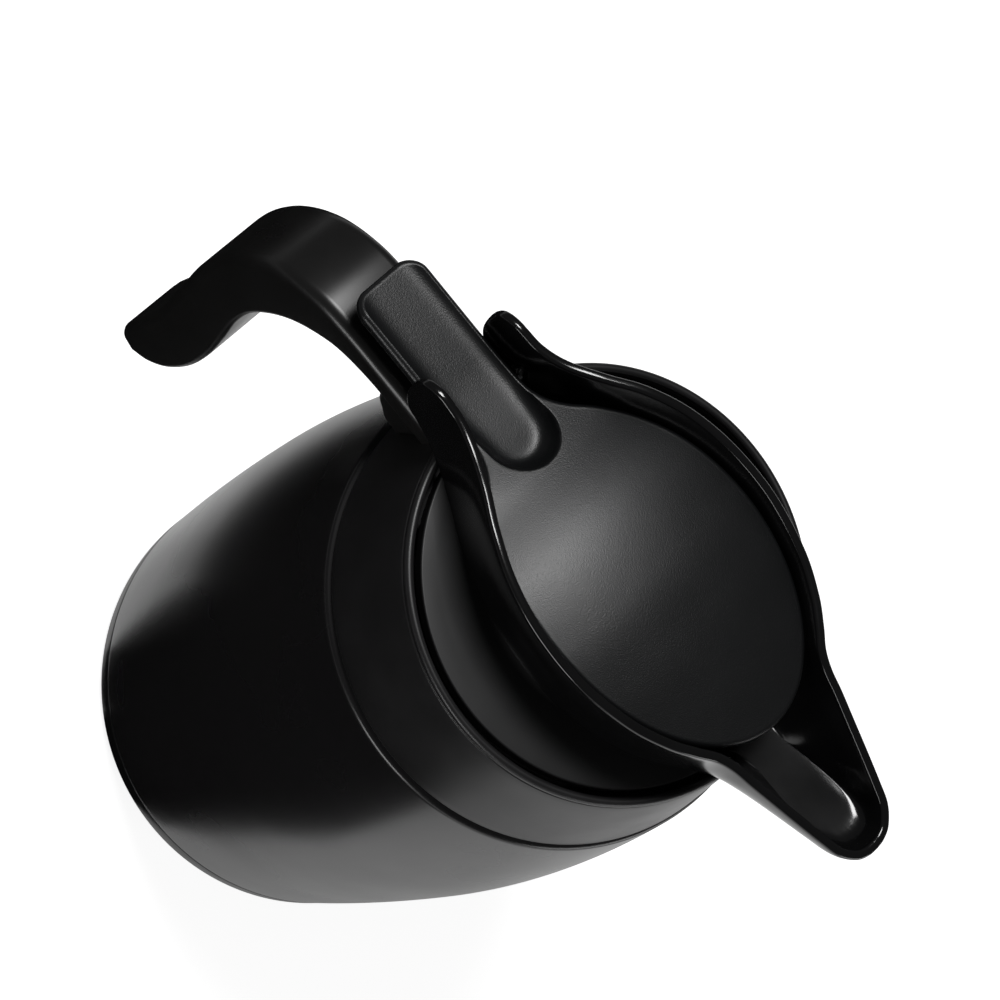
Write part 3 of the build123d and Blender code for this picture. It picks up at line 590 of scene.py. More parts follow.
# ================================ flask ========================================================
@dataclass(frozen=True)
class Flask:
    """Painted steel wall, base cup and collar, all turned about the axis; sizes in millimetres."""

    base_radius: float = 62.2
    belly_radius: float = 64.4
    shoulder_radius: float = 57.3
    neck_radius: float = 43.0
    seam_height: float = 11.0
    belly_height: float = 92.0
    shoulder_height: float = 176.0
    neck_base_height: float = 181.5
    lip_height: float = 190.0
    arc_steps: int = 60
    # steel wall: how its lower edge rolls in, and how it bends at shoulder and neck, (out, up)
    shell_wall: float = 0.8
    edge_roll: float = 0.35
    roll_middle: tuple[float, float] = (-0.3, -0.7)
    shoulder_bend: tuple[float, float] = (-0.6, 0.35)
    neck_bend: tuple[float, float] = (0.8, -0.2)
    neck_rise: float = 0.6
    inner_neck_drops: tuple[float, float] = (0.4, 1.0)
    inner_shoulder_bend: tuple[float, float] = (-0.2, -0.5)
    # base cup
    seam_gap: float = 0.35
    cup_corner: float = 3.4
    cup_lean: float = 0.4
    cup_low: float = 0.8
    cup_wall: float = 1.6
    cup_floor: float = 4.0
    cup_floor_corner: float = 1.0
    seam_corner: float = 0.5
    spigot_radius: float = 60.3
    spigot_top: float = 14.2
    pad_radius: float = 56.0
    pad_top: float = 2.0
    # collar; the bead's sweep is in half turns
    rim_height: float = 206.5
    rim_radius: float = 50.0
    bead_radius: float = 1.1
    bead_sweep: tuple[float, float] = (-0.15, 1.12)
    bead_steps: int = 16
    bead_drop_inside: float = 2.0
    bead_drop_outside: float = 1.9
    bead_ledge: float = 0.1
    collar_foot_radius: float = 56.5
    collar_foot_corner: float = 0.45
    collar_groove: float = 0.9
    collar_bore: float = 43.25
    collar_bore_corner: float = 0.2
    mouth_radius: float = 47.8
    mouth_depth: float = 4.2
    mouth_step: float = 1.0
    thread_radius: float = 46.4
    thread_floor: float = 190.8
    thread_floor_corner: float = 0.6
    soft_edge: float = 0.3
    # ramps of the thread
    ramp_count: int = 4
    ramp_root: float = 0.4
    ramp_depth: float = 2.5
    ramp_height: float = 1.8
    ramp_corner: float = 0.4
    ramp_level: float = 198.0
    ramp_span: float = 71.5
    ramp_steps: int = 61
    ramp_end_share: float = 0.03
    thread_rise: float = 4.0
    thread_turn: float = 70.0

    def wall_arc(self, inside: float, end_height: float, end_radius: float) -> np.ndarray:
        """Arc of the wall from its widest place to an end, vertical at the widest place.

        Args:
            inside: distance to stay inside the wall's outer face.
            end_height: height of the arc's end.
            end_radius: outer radius at its end.

        Returns:
            (radius, height) points from the widest place to the end: the offset after a height
            difference y is k y^2 / (1 + sqrt(1 - k^2 y^2)), k being the arc's curvature.
        """
        spread = self.belly_radius - end_radius
        drop = end_height - self.belly_height
        curvature = 2 * spread / (spread ** 2 + drop ** 2)
        height = np.linspace(0.0, drop, self.arc_steps)
        inward = curvature * height ** 2 / (1 + np.sqrt(1 - (curvature * height) ** 2))
        return np.stack([self.belly_radius - inside - inward, self.belly_height + height], 1)

    def wall(self) -> bpy.types.Object:
        """Steel wall from the seam to the mouth, with a rolled lower edge.

        Returns:
            The wall: outer face, neck, inner face and lower edge are one closed outline.
        """
        faces = []
        for inside in (0.0, self.shell_wall):
            lower = self.wall_arc(inside, self.seam_height, self.base_radius)
            upper = self.wall_arc(inside, self.shoulder_height, self.shoulder_radius)
            faces.append(np.vstack([lower[::-1], upper[1:]]))
        outer, inner = faces
        roll = self.edge_roll
        outer[0] = outer[0] + (0.0, roll)
        edge = np.array([outer[0] + roll * np.array(self.roll_middle),
                         [outer[0, 0] - roll, self.seam_height]])
        shoulder = np.array([self.shoulder_radius, self.shoulder_height])
        neck_foot = np.array([self.neck_radius, self.neck_base_height])
        bore = self.neck_radius - self.shell_wall
        upper_drop, lower_drop = self.inner_neck_drops
        neck = np.array([shoulder + self.shoulder_bend, neck_foot + self.neck_bend,
                         neck_foot + (0.0, self.neck_rise), [self.neck_radius, self.lip_height],
                         [bore, self.lip_height], [bore, self.neck_base_height - upper_drop],
                         neck_foot - (0.0, lower_drop)])
        inner[-1] = shoulder - (self.shell_wall, 0.0) + self.inner_shoulder_bend
        return turned("flask_wall", np.vstack([outer, neck, inner[::-1], edge[::-1]]))

    def base(self) -> bpy.types.Object:
        """Base cup with a rounded foot, a recess for the pad and a spigot inside the wall.

        Returns:
            The cup.
        """
        seam = self.seam_height - self.seam_gap
        spigot_bore = self.spigot_radius - self.cup_wall
        corners = [(0.0, self.pad_top, 0.0), (self.pad_radius, self.pad_top, 0.0),
                   (self.pad_radius, self.cup_low, self.soft_edge),
                   (self.base_radius - self.cup_lean, self.cup_low, self.cup_corner),
                   (self.base_radius, seam, self.seam_corner), (self.spigot_radius, seam, 0.0),
                   (self.spigot_radius, self.spigot_top, self.soft_edge),
                   (spigot_bore, self.spigot_top, self.soft_edge),
                   (spigot_bore, self.cup_floor, self.cup_floor_corner),
                   (0.0, self.cup_floor, 0.0)]
        return turned("base_shell", rounded_outline(corners, spacing=3.0))

    def collar(self) -> bpy.types.Object:
        """Collar with a round bead and the ramps of the thread inside.

        Returns:
            The collar: its lower face follows the cone between shoulder and neck, a groove above.
        """
        slope = ((self.neck_base_height - self.shoulder_height)
                 / (self.shoulder_radius - self.neck_radius))
        foot, root = (self.shoulder_height + (self.shoulder_radius - radius) * slope
                      + self.collar_groove for radius in (self.collar_foot_radius, self.collar_bore))
        bead, top = self.bead_radius, self.rim_height
        start, end = self.bead_sweep
        angle = np.linspace(start * math.pi, end * math.pi, self.bead_steps)
        bead_arc = np.stack([self.rim_radius - bead + bead * np.cos(angle),
                             top - bead + bead * np.sin(angle)], axis=1)
        step = top - self.mouth_depth
        corners = [(self.mouth_radius, top - self.bead_drop_inside, self.soft_edge),
                   (self.mouth_radius, step, self.soft_edge),
                   (self.thread_radius, step - self.mouth_step, self.soft_edge),
                   (self.thread_radius, self.thread_floor, self.thread_floor_corner),
                   (self.collar_bore, self.thread_floor, self.soft_edge),
                   (self.collar_bore, root, self.collar_bore_corner),
                   (self.collar_foot_radius, foot, self.collar_foot_corner),
                   (self.rim_radius + self.bead_ledge, top - self.bead_drop_outside,
                    self.soft_edge)]
        below = rounded_outline(corners, spacing=2.0)
        below = np.roll(below, -int(np.argmax(below[:, 1])), axis=0)
        ring = turned("collar_ring", np.vstack([bead_arc, below]))
        return join("collar_ring", [ring, *self.ramps()])

    def ramps(self) -> list[bpy.types.Object]:
        """Ramps of the thread: rounded bars that climb evenly with their angle.

        Returns:
            The ramps: over its last share each end shrinks to its middle as a quarter of a circle.
        """
        inner, outer = self.thread_radius - self.ramp_depth, self.thread_radius + self.ramp_root
        section = rounded_outline([(outer, 0.0, 0.0), (inner, 0.0, self.ramp_corner),
                                   (inner, self.ramp_height, self.ramp_corner),
                                   (outer, self.ramp_height, 0.0)], spacing=5.0)
        middle = section.mean(axis=0)
        share = np.linspace(-1.0, 1.0, self.ramp_steps)
        past = (np.abs(share) - (1 - self.ramp_end_share)) / self.ramp_end_share
        shrink = np.sqrt(np.clip(1.0 - past.clip(0.0) ** 2, 0.0, 1.0))
        climb = share * self.ramp_span / 2 * self.thread_rise / self.thread_turn
        radius, height = (middle[k] + (section[:, k] - middle[k])[None] * shrink[:, None]
                          for k in range(2))
        height = self.ramp_level + height + climb[:, None]
        ramps = []
        for index in range(self.ramp_count):
            angle = (math.radians(360.0 / self.ramp_count * index)
                     + share * math.radians(self.ramp_span / 2))[:, None]
            points = np.stack([radius * np.cos(angle), radius * np.sin(angle), height], axis=2)
            ramps.append(surface(f"ramp_{index}", points, Rows.OPEN))
        return ramps

    def build(self, finishes: Materials) -> None:
        """Build and dress the three pieces.

        Args:
            finishes: materials by slot.
        """
        place(self.wall(), "flask", "painted_steel", finishes["painted_steel"], "outer_shell")
        place(self.base(), "flask", "base_plastic", finishes["base_plastic"], "base_cup")
        place(self.collar(), "flask", "collar_plastic", finishes["collar_plastic"], "collar")


# ================================ handle =======================================================
@dataclass(frozen=True)
class Handle:
    """C-shaped grip with soft edges, and the lug under its beam; sizes in millimetres.

    A station holds the outer (x, z) and the inner (x, z) point of a section, and a corner of the
    lug its (x, z) and its rounding.
    """

    half_width: float = 11.0
    rounding: float = 3.0
    inner_rounding: float = 1.5
    rounding_share: float = 0.95
    rounding_steps: int = 9
    least_depth: float = 0.02
    stations: tuple[tuple[float, float, float, float], ...] = (
        (-48.7, 203.9, -49.6, 196.4), (-58.0, 203.9, -58.0, 196.4), (-68.0, 203.9, -68.0, 196.4),
        (-80.0, 203.9, -77.0, 194.7), (-90.5, 202.5, -83.0, 191.2), (-100.5, 196.6, -89.0, 185.2),
        (-107.5, 186.5, -93.6, 177.2), (-111.2, 174.0, -96.3, 168.5), (-112.1, 160.0, -96.8, 158.0),
        (-111.5, 145.0, -95.6, 146.0), (-111.0, 130.0, -94.7, 133.0), (-111.4, 119.0, -95.4, 119.8),
        (-112.6, 109.5, -98.2, 108.8), (-113.2, 104.5, -102.2, 101.8), (-113.2, 101.6, -106.3, 98.6))
    span_steps: int = 16
    tip: tuple[float, float] = (-110.9, 98.0)
    tip_steps: int = 28
    narrowing: float = 4.5
    lug_corners: tuple[tuple[float, float, float], ...] = (
        (-50.5, 197.0, 0.0), (-66.0, 197.0, 1.0), (-64.5, 188.5, 4.0), (-59.5, 183.5, 3.0),
        (-54.6, 183.5, 0.3))
    lug_half_width: float = 8.0
    lug_rounding: float = 1.2
    lug_rounding_steps: int = 6

    def grip(self) -> bpy.types.Object:
        """Grip as a loft of rounded rectangles that closes at a round tip.

        Returns:
            The grip: past its last station the section swings to the tip and narrows to nothing.
        """
        stations = curve_through(self.stations, self.span_steps)
        outer, inner = stations[:, :2], stations[:, 2:]
        turn = quarter(self.tip_steps)[1:, None]
        middle = 0.5 * (outer[-1] + inner[-1])
        reach = np.array(self.tip) - middle
        half = 0.5 * (outer[-1] - inner[-1])
        outer = np.vstack([outer, middle + reach * np.sin(turn) + half * np.cos(turn)])
        inner = np.vstack([inner, middle + reach * np.sin(turn) - half * np.cos(turn)])
        width = np.full(len(outer), self.half_width)
        width[-len(turn):] = self.half_width - self.narrowing * (1.0 - np.cos(turn[:, 0]))
        middle = 0.5 * (outer + inner)
        across = 0.5 * (outer - inner)
        depth = np.linalg.norm(across, axis=1)
        across = across / np.maximum(depth, TINY)[:, None]
        across[-1] = across[-2]
        depth = np.maximum(depth, self.least_depth)
        rows = []
        for k in range(len(outer)):
            above, below = (min(rounding, self.rounding_share * depth[k] + SHARP)
                            for rounding in (self.rounding, self.inner_rounding))
            ring = rounded_outline([(depth[k], width[k], above), (-depth[k], width[k], below),
                                    (-depth[k], -width[k], below), (depth[k], -width[k], above)],
                                   steps=self.rounding_steps, spacing=math.inf)
            plan = middle[k][None] + ring[:, 0][:, None] * across[k][None]
            rows.append(np.stack([plan[:, 0], ring[:, 1], plan[:, 1]], axis=1))
        grid = np.stack(rows)
        start = np.repeat(grid[:1].mean(axis=1, keepdims=True), grid.shape[1], axis=1)
        return surface("handle_grip", np.concatenate([start, grid]), Rows.OPEN)

    def lug(self) -> bpy.types.Object:
        """Lug under the beam: a rounded block whose back leans in towards its foot.

        Returns:
            The lug: its profile, carried across and drawn in over a quarter circle at each side.
        """
        profile = rounded_outline(self.lug_corners, spacing=1.5)
        middle = profile.mean(axis=0)
        turn = quarter(self.lug_rounding_steps)
        rounding, half = self.lug_rounding, self.lug_half_width
        inset = np.concatenate([rounding * (1 - np.sin(turn)), rounding * (1 - np.cos(turn))])
        side = np.concatenate([-half + rounding * (1 - np.cos(turn)),
                               half - rounding * (1 - np.sin(turn))])
        outward = unit(profile - middle)
        rows = [np.stack([(profile - outward * i)[:, 0], np.full(len(profile), s),
                          (profile - outward * i)[:, 1]], axis=1) for i, s in zip(inset, side)]
        ends = [np.tile([[middle[0], s, middle[1]]], (len(profile), 1)) for s in (side[0], side[-1])]
        return surface("handle_lug", np.stack([ends[0], *rows, ends[1]]), Rows.OPEN)

    def build(self, finishes: Materials) -> None:
        """Build and dress the grip with its lug.

        Args:
            finishes: materials by slot.
        """
        piece = join("handle_grip", [self.grip(), self.lug()])
        place(piece, "flask", "handle_plastic", finishes["handle_plastic"], "handle")


# ================================ pouring head =================================================
@dataclass(frozen=True)
class PouringHead:
    """Oval bowl with prongs and a spout, lofted as one wall, on a round foot; in millimetres.

    Each station holds the rim's outer edge (x, y, z), the outer foot of the wall (x, y, z), the
    floor's edge (x, y), and the shape of the outer wall: shares along and up of its two controls.
    A pair named for a blend holds the two x between which it runs.
    """

    # wall
    rim_width: float = 2.3
    rim_rounding: float = 1.0
    rim_rounding_share: float = 0.3
    rim_rounding_limit: float = 1.1
    tip_centre: float = -57.0
    tip_reach: float = 6.5
    tip_middle: float = 219.4
    tip_up: float = 5.4
    tip_down: float = 11.2
    tip_thinning: float = 1.4
    prong_blend: tuple[float, float] = (-45.0, -38.0)
    prong_foot_rounding: float = 0.9
    wall_foot_rounding: float = 0.2
    low_wall: float = 4.0
    least_height: float = 1e-3
    # floor, from the valve's ring to the wall; it thins to an edge up the spout
    floor_height: float = 209.0
    floor_slope: float = 0.285
    floor_bend: float = 42.5
    floor_bend_width: float = 30.0
    floor_depth: float = 2.9
    ring_radius: float = 17.4
    ring_squeeze: float = 1.25
    floor_fillet: float = 1.6
    bowl_fillet: float = 1.6
    bowl_fillet_blend: tuple[float, float] = (42.0, 30.0)
    spout_fillet: float = 2.4
    spout_fillet_blend: tuple[float, float] = (38.0, 60.0)
    spout_blend: tuple[float, float] = (34.0, 50.0)
    spout_shape: tuple[float, float, float, float] = (0.42, 0.34, 0.82, 0.7)
    # numbers of points
    span_steps: int = 14
    tip_steps: int = 22
    face_steps: int = 26
    corner_steps: int = 8
    # foot
    foot_radius: float = 46.3
    foot_top: float = 206.0
    foot_base: float = 202.6
    foot_steps: int = 256
    basin_radius: float = 28.6
    basin_sink: float = 0.05
    seat_top: float = 212.0
    seat_radius: float = 16.0
    seat_corner: float = 0.7
    aperture_radius: float = 13.0
    aperture_corner: float = 0.4
    hollow: tuple[float, float, float] = (19.6, 26.1, 206.9)
    hollow_corners: tuple[float, float] = (0.2, 0.8)
    soft_edge: float = 0.5
    # sill under the lever: an elliptic arc in degrees, its front, and (height, share) of its levels
    sill_sweep: tuple[float, float] = (125.0, 235.0)
    sill_radii: tuple[float, float] = (44.9, 20.0)
    sill_front: float = -24.0
    sill_steps: int = 90
    sill_levels: tuple[tuple[float, float], ...] = (
        (205.8, 0.0), (205.8, 1.0), (209.4, 1.0), (209.85, 0.988), (210.0, 0.975), (210.0, 0.0))
    stations: tuple[tuple[float, ...], ...] = (
        (-57.0, 13.45, 224.8, -57.0, 13.45, 208.2, -57.0, 10.9, 0.0, 0.33, 1.0, 0.66),
        (-51.5, 14.0, 224.7, -51.5, 14.0, 206.9, -51.5, 11.4, 0.0, 0.33, 1.0, 0.66),
        (-45.5, 16.1, 225.2, -45.2, 15.6, 206.0, -45.3, 13.4, 0.0, 0.33, 1.0, 0.66),
        (-38.0, 20.4, 227.0, -38.0, 18.7, 205.7, -37.5, 16.7, 0.0, 0.33, 0.9, 0.64),
        (-30.0, 25.7, 228.5, -30.0, 22.9, 205.7, -29.5, 21.0, -0.05, 0.34, 0.87, 0.63),
        (-20.0, 30.3, 229.05, -20.0, 26.8, 205.7, -19.8, 24.8, -0.1, 0.35, 0.85, 0.62),
        (-8.0, 33.0, 229.12, -8.0, 29.3, 205.7, -8.0, 27.3, -0.1, 0.35, 0.85, 0.62),
        (6.0, 33.25, 229.12, 6.0, 30.2, 205.7, 6.0, 28.0, -0.1, 0.35, 0.85, 0.62),
        (20.0, 30.3, 229.05, 18.5, 28.4, 205.7, 19.0, 26.2, -0.08, 0.35, 0.85, 0.62),
        (29.5, 26.1, 228.9, 27.5, 25.2, 205.7, 27.0, 23.0, 0.0, 0.34, 0.86, 0.62),
        (35.5, 22.1, 228.7, 34.5, 21.3, 205.8, 32.0, 19.6, 0.1, 0.33, 0.88, 0.62),
        (39.6, 19.0, 228.4, 39.5, 17.6, 206.0, 36.0, 16.0, 0.2, 0.3, 0.9, 0.6),
        (43.8, 17.2, 228.0, 42.6, 15.2, 206.2, 40.5, 10.8, 0.28, 0.26, 0.93, 0.56),
        (49.0, 16.0, 227.5, 44.2, 12.4, 206.3, 46.5, 6.6, 0.32, 0.23, 0.95, 0.52),
        (56.0, 14.2, 226.7, 45.0, 9.8, 206.3, 53.5, 5.2, 0.33, 0.22, 0.96, 0.5),
        (63.0, 12.4, 225.9, 45.5, 7.2, 206.3, 61.0, 5.9, 0.33, 0.21, 0.97, 0.5),
        (70.0, 10.5, 225.1, 45.8, 4.7, 206.3, 67.6, 6.4, 0.33, 0.2, 0.97, 0.5),
        (75.2, 8.8, 224.5, 46.0, 2.8, 206.3, 72.2, 6.0, 0.33, 0.2, 0.97, 0.5),
        (78.9, 5.7, 224.1, 46.1, 1.4, 206.3, 75.0, 4.0, 0.33, 0.2, 0.97, 0.5),
        (80.3, 2.7, 224.0, 46.2, 0.6, 206.3, 75.8, 1.8, 0.33, 0.2, 0.97, 0.5),
        (80.6, 0.0, 224.0, 46.2, 0.0, 206.3, 76.0, 0.0, 0.33, 0.2, 0.97, 0.5))

    def floor(self, x: np.ndarray) -> np.ndarray:
        """Height of the floor: level in the bowl, then rising evenly up the spout."""
        past = x - self.floor_bend
        rise = 0.5 * (past + np.sqrt(past ** 2 + self.floor_bend_width))
        return self.floor_height + self.floor_slope * rise

    def sections(self) -> np.ndarray:
        """Stations all along the wall, from the prong's tip to the spout's tip.

        Returns:
            (rows, 12) stations: over the prong's tip the rim and the foot swing on quarter ellipses.
        """
        keys = curve_through(self.stations, self.span_steps)
        turn = np.linspace(0.5 * math.pi, 0.0, self.tip_steps, endpoint=False)
        swing = np.tile(keys[:1], (len(turn), 1))
        swing[:, [0, 3, 6]] = (self.tip_centre - self.tip_reach * np.sin(turn))[:, None]
        swing[:, 2] = self.tip_middle + self.tip_up * np.cos(turn)
        swing[:, 5] = self.tip_middle - self.tip_down * np.cos(turn)
        return np.vstack([swing, keys])

    def half_wall(self) -> np.ndarray:
        """Wall of the +Y side from the prong's tip to the spout's tip.

        Returns:
            (rows, columns, 3) grid: each row is a closed loop that climbs the outer face as a cubic
            curve, rounds the rim, falls along the inner face and runs back under or along the floor.
        """
        keys = self.sections()
        rim, foot, edge = keys[:, 0:3], keys[:, 3:6], keys[:, 6:8]
        along = unit(np.gradient(rim[:, :2], axis=0))
        along[-1] = (0.0, -1.0)
        inward = np.stack([along[:, 1], -along[:, 0], 0 * along[:, 0]], axis=1)
        rim_in = rim + inward * self.rim_width
        on_floor = smoothstep(*self.prong_blend, rim[:, 0])[:, None]
        free = 1.0 - on_floor
        inner_foot = np.hstack([edge, free * foot[:, 2:] + on_floor * self.floor(edge[:, :1])])
        height = np.maximum(rim[:, 2:] - foot[:, 2:], self.least_height)
        round_rim = np.minimum(self.rim_rounding, self.rim_rounding_share * height)
        top_out, top_in = rim - UP * round_rim, rim_in - UP * round_rim
        crown = np.minimum(round_rim, self.rim_rounding_limit)
        first, second = self.controls(foot, (rim - foot) * LEVEL + UP * height, keys[:, 8:12])
        spout = smoothstep(*self.spout_blend, rim[:, 0])[:, None]
        inner_shape = (1 - spout) * keys[:, 8:12] + spout * np.array(self.spout_shape)
        inner_first, inner_second = self.controls(inner_foot, rim_in - inner_foot, inner_shape)
        round_foot, round_floor = self.fillets(rim[:, :1], on_floor, height)
        last, low = self.inner_ends(foot, inner_foot, on_floor)
        start_out = foot + unit(first - foot) * round_foot
        start_in = self.towards(inner_foot, inner_first, round_floor, 0.0)
        after_floor = inner_foot + unit((last - inner_foot) * LEVEL) * np.minimum(
            round_floor, FILLET_SHARE * self.distance(last, inner_foot) + SHARP)
        under_start = self.towards(foot, low, round_foot, SHARP)
        run = np.linspace(0, 1, self.face_steps)
        outer = bezier(start_out, first, second, top_out, run)
        inner = bezier(start_in, inner_first, inner_second, top_in, run)[:, ::-1]
        floor = after_floor[:, None] + (last - after_floor)[:, None] * run[None, 1:, None]
        floor[..., 2] = free * floor[..., 2] + on_floor * self.floor(floor[..., 0])
        after_floor[:, 2:] = free * after_floor[:, 2:] + on_floor * self.floor(after_floor[:, :1])
        arc = np.linspace(0, 1, self.corner_steps)
        grid = np.concatenate([
            corner(under_start, foot, start_out, arc)[:, :-1], outer[:, :-1],
            corner(top_out, rim, rim + inward * crown, arc)[:, :-1],
            corner(rim_in - inward * crown, rim_in, top_in, arc)[:, :-1],
            inner[:, :-1], corner(start_in, inner_foot, after_floor, arc)[:, :-1],
            after_floor[:, None], floor, low[:, None]], axis=1)
        return self.thinned_tip(grid, rim, rim_in)

    @staticmethod
    def controls(foot: np.ndarray, way: np.ndarray, shape: np.ndarray) -> list[np.ndarray]:
        """Controls of a face's cubic curves: shares of the level and of the upright way up.

        Args:
            foot: (rows, 3) lower ends.
            way: (rows, 3) ways from the lower to the upper ends.
            shape: (rows, 4) shares along and up of the first, then of the second control.

        Returns:
            The first and the second controls.
        """
        span, rise = way * LEVEL, way * UP
        return [foot + span * shape[:, k:k + 1] + rise * shape[:, k + 1:k + 2] for k in (0, 2)]

    @staticmethod
    def distance(start: np.ndarray, end: np.ndarray) -> np.ndarray:
        """Distances between the points of two (rows, 3) arrays, as a column."""
        return np.linalg.norm(end - start, axis=1, keepdims=True)

    def towards(self, start: np.ndarray, end: np.ndarray, step: np.ndarray,
                spare: float) -> np.ndarray:
        """Points a step away from start towards end, no further than most of the way.

        Args:
            start: (rows, 3) starts.
            end: (rows, 3) ends.
            step: (rows, 1) steps.
            spare: length allowed on top of that share of the way.

        Returns:
            (rows, 3) points.
        """
        longest = FILLET_SHARE * self.distance(start, end) + spare
        return start + unit(end - start) * np.minimum(step, longest)

    def fillets(self, x: np.ndarray, on_floor: np.ndarray,
                height: np.ndarray) -> tuple[np.ndarray, np.ndarray]:
        """Roundings of each section, smaller where the wall is low.

        Args:
            x: (rows, 1) places of the rim.
            on_floor: (rows, 1) shares of the floor in the section, 0 on a free prong.
            height: (rows, 1) heights of the wall.

        Returns:
            Roundings at the outer foot, and between the inner face and the floor.
        """
        low = np.minimum(1.0, height / self.low_wall)
        outside = np.where(on_floor > 0.5, self.wall_foot_rounding, self.prong_foot_rounding) * low
        inside = (self.floor_fillet + self.bowl_fillet * smoothstep(*self.bowl_fillet_blend, x)
                  + self.spout_fillet * smoothstep(*self.spout_fillet_blend, x))
        free = 1.0 - on_floor
        return outside, (free * self.prong_foot_rounding + on_floor * inside) * low

    def inner_ends(self, foot: np.ndarray, inner_foot: np.ndarray,
                   on_floor: np.ndarray) -> tuple[np.ndarray, np.ndarray]:
        """Ends of each section's last leg: on the ring round the valve, or under a free prong.

        Args:
            foot: (rows, 3) outer feet.
            inner_foot: (rows, 3) inner feet.
            on_floor: (rows, 1) shares of the floor in the section.

        Returns:
            The leg's end on the floor's top, and the point under it.
        """
        bearing = np.arctan2(inner_foot[:, 1] * self.ring_squeeze, inner_foot[:, 0])
        ring = np.stack([self.ring_radius * np.cos(bearing), self.ring_radius * np.sin(bearing),
                         np.full(len(bearing), self.floor_height)], axis=1)
        last = (1.0 - on_floor) * (0.5 * (foot + inner_foot)) + on_floor * ring
        return last, last - on_floor * UP * self.floor_depth

    def thinned_tip(self, grid: np.ndarray, rim: np.ndarray, rim_in: np.ndarray) -> np.ndarray:
        """Thin the prong across, as a quarter circle, over the last bit of its tip.

        Args:
            grid: (rows, columns, 3) sections.
            rim: (rows, 3) outer edges of the rim.
            rim_in: (rows, 3) inner edges of the rim.

        Returns:
            The same grid, closed at the prong's tip.
        """
        past = -rim[:, 0] - (-self.tip_centre + self.tip_reach - self.tip_thinning)
        thin = np.sqrt(np.clip(1.0 - (past.clip(0.0) / self.tip_thinning) ** 2, 0.0, 1.0))[:, None]
        middle = 0.5 * (rim[:, 1] + rim_in[:, 1])[:, None]
        grid[..., 1] = np.where(past[:, None] > 0, middle + (grid[..., 1] - middle) * thin,
                                grid[..., 1])
        return grid

    def wall(self) -> bpy.types.Object:
        """Whole wall: the +Y half and its mirror image, joined at the spout's tip.

        Returns:
            The wall.
        """
        half = self.half_wall()
        mirrored = half * (1.0, -1.0, 1.0)
        return surface("head_wall", np.concatenate([mirrored, half[-2::-1]]), Rows.OPEN)

    def foot(self) -> bpy.types.Object:
        """Round foot with the bowl's floor, the valve seat and the hollow above the plug.

        Returns:
            The foot.
        """
        inner, outer, top = self.hollow
        mouth, roof = self.hollow_corners
        floor = self.floor_height - self.basin_sink
        corners = [(self.aperture_radius, self.foot_base, self.aperture_corner),
                   (self.aperture_radius, self.seat_top, self.seat_corner),
                   (self.seat_radius, self.seat_top, self.seat_corner),
                   (self.seat_radius, floor, self.soft_edge), (self.basin_radius, floor, 0.0),
                   (self.basin_radius, self.foot_top, 0.0),
                   (self.foot_radius, self.foot_top, self.soft_edge),
                   (self.foot_radius, self.foot_base, self.soft_edge),
                   (outer, self.foot_base, mouth), (outer, top, roof), (inner, top, roof),
                   (inner, self.foot_base, mouth)]
        return turned("head_foot", rounded_outline(corners, spacing=3.0), self.foot_steps)

    def sill(self) -> bpy.types.Object:
        """Low sill under the lever, between the prongs.

        Returns:
            The sill: its outline, scaled about its middle by each level's share.
        """
        angle = np.radians(np.linspace(*self.sill_sweep, self.sill_steps))
        length, width = self.sill_radii
        outline = np.stack([length * np.cos(angle), width * np.sin(angle)], axis=1)
        outline = np.vstack([outline, [[self.sill_front, outline[-1, 1]],
                                       [self.sill_front, outline[0, 1]]]])
        middle = outline.mean(axis=0)
        rows = [lifted(middle + (outline - middle) * share, height)
                for height, share in self.sill_levels]
        return surface("head_sill", np.stack(rows), Rows.OPEN)

    def build(self, finishes: Materials) -> None:
        """Build and dress the head.

        Args:
            finishes: materials by slot.
        """
        place(self.wall(), "head", "head_plastic", finishes["head_plastic"], "pour_head")
        foot = join("head_foot_disc", [self.foot(), self.sill()])
        place(foot, "head", "head_plastic", finishes["foot_plastic"], "head_foot")


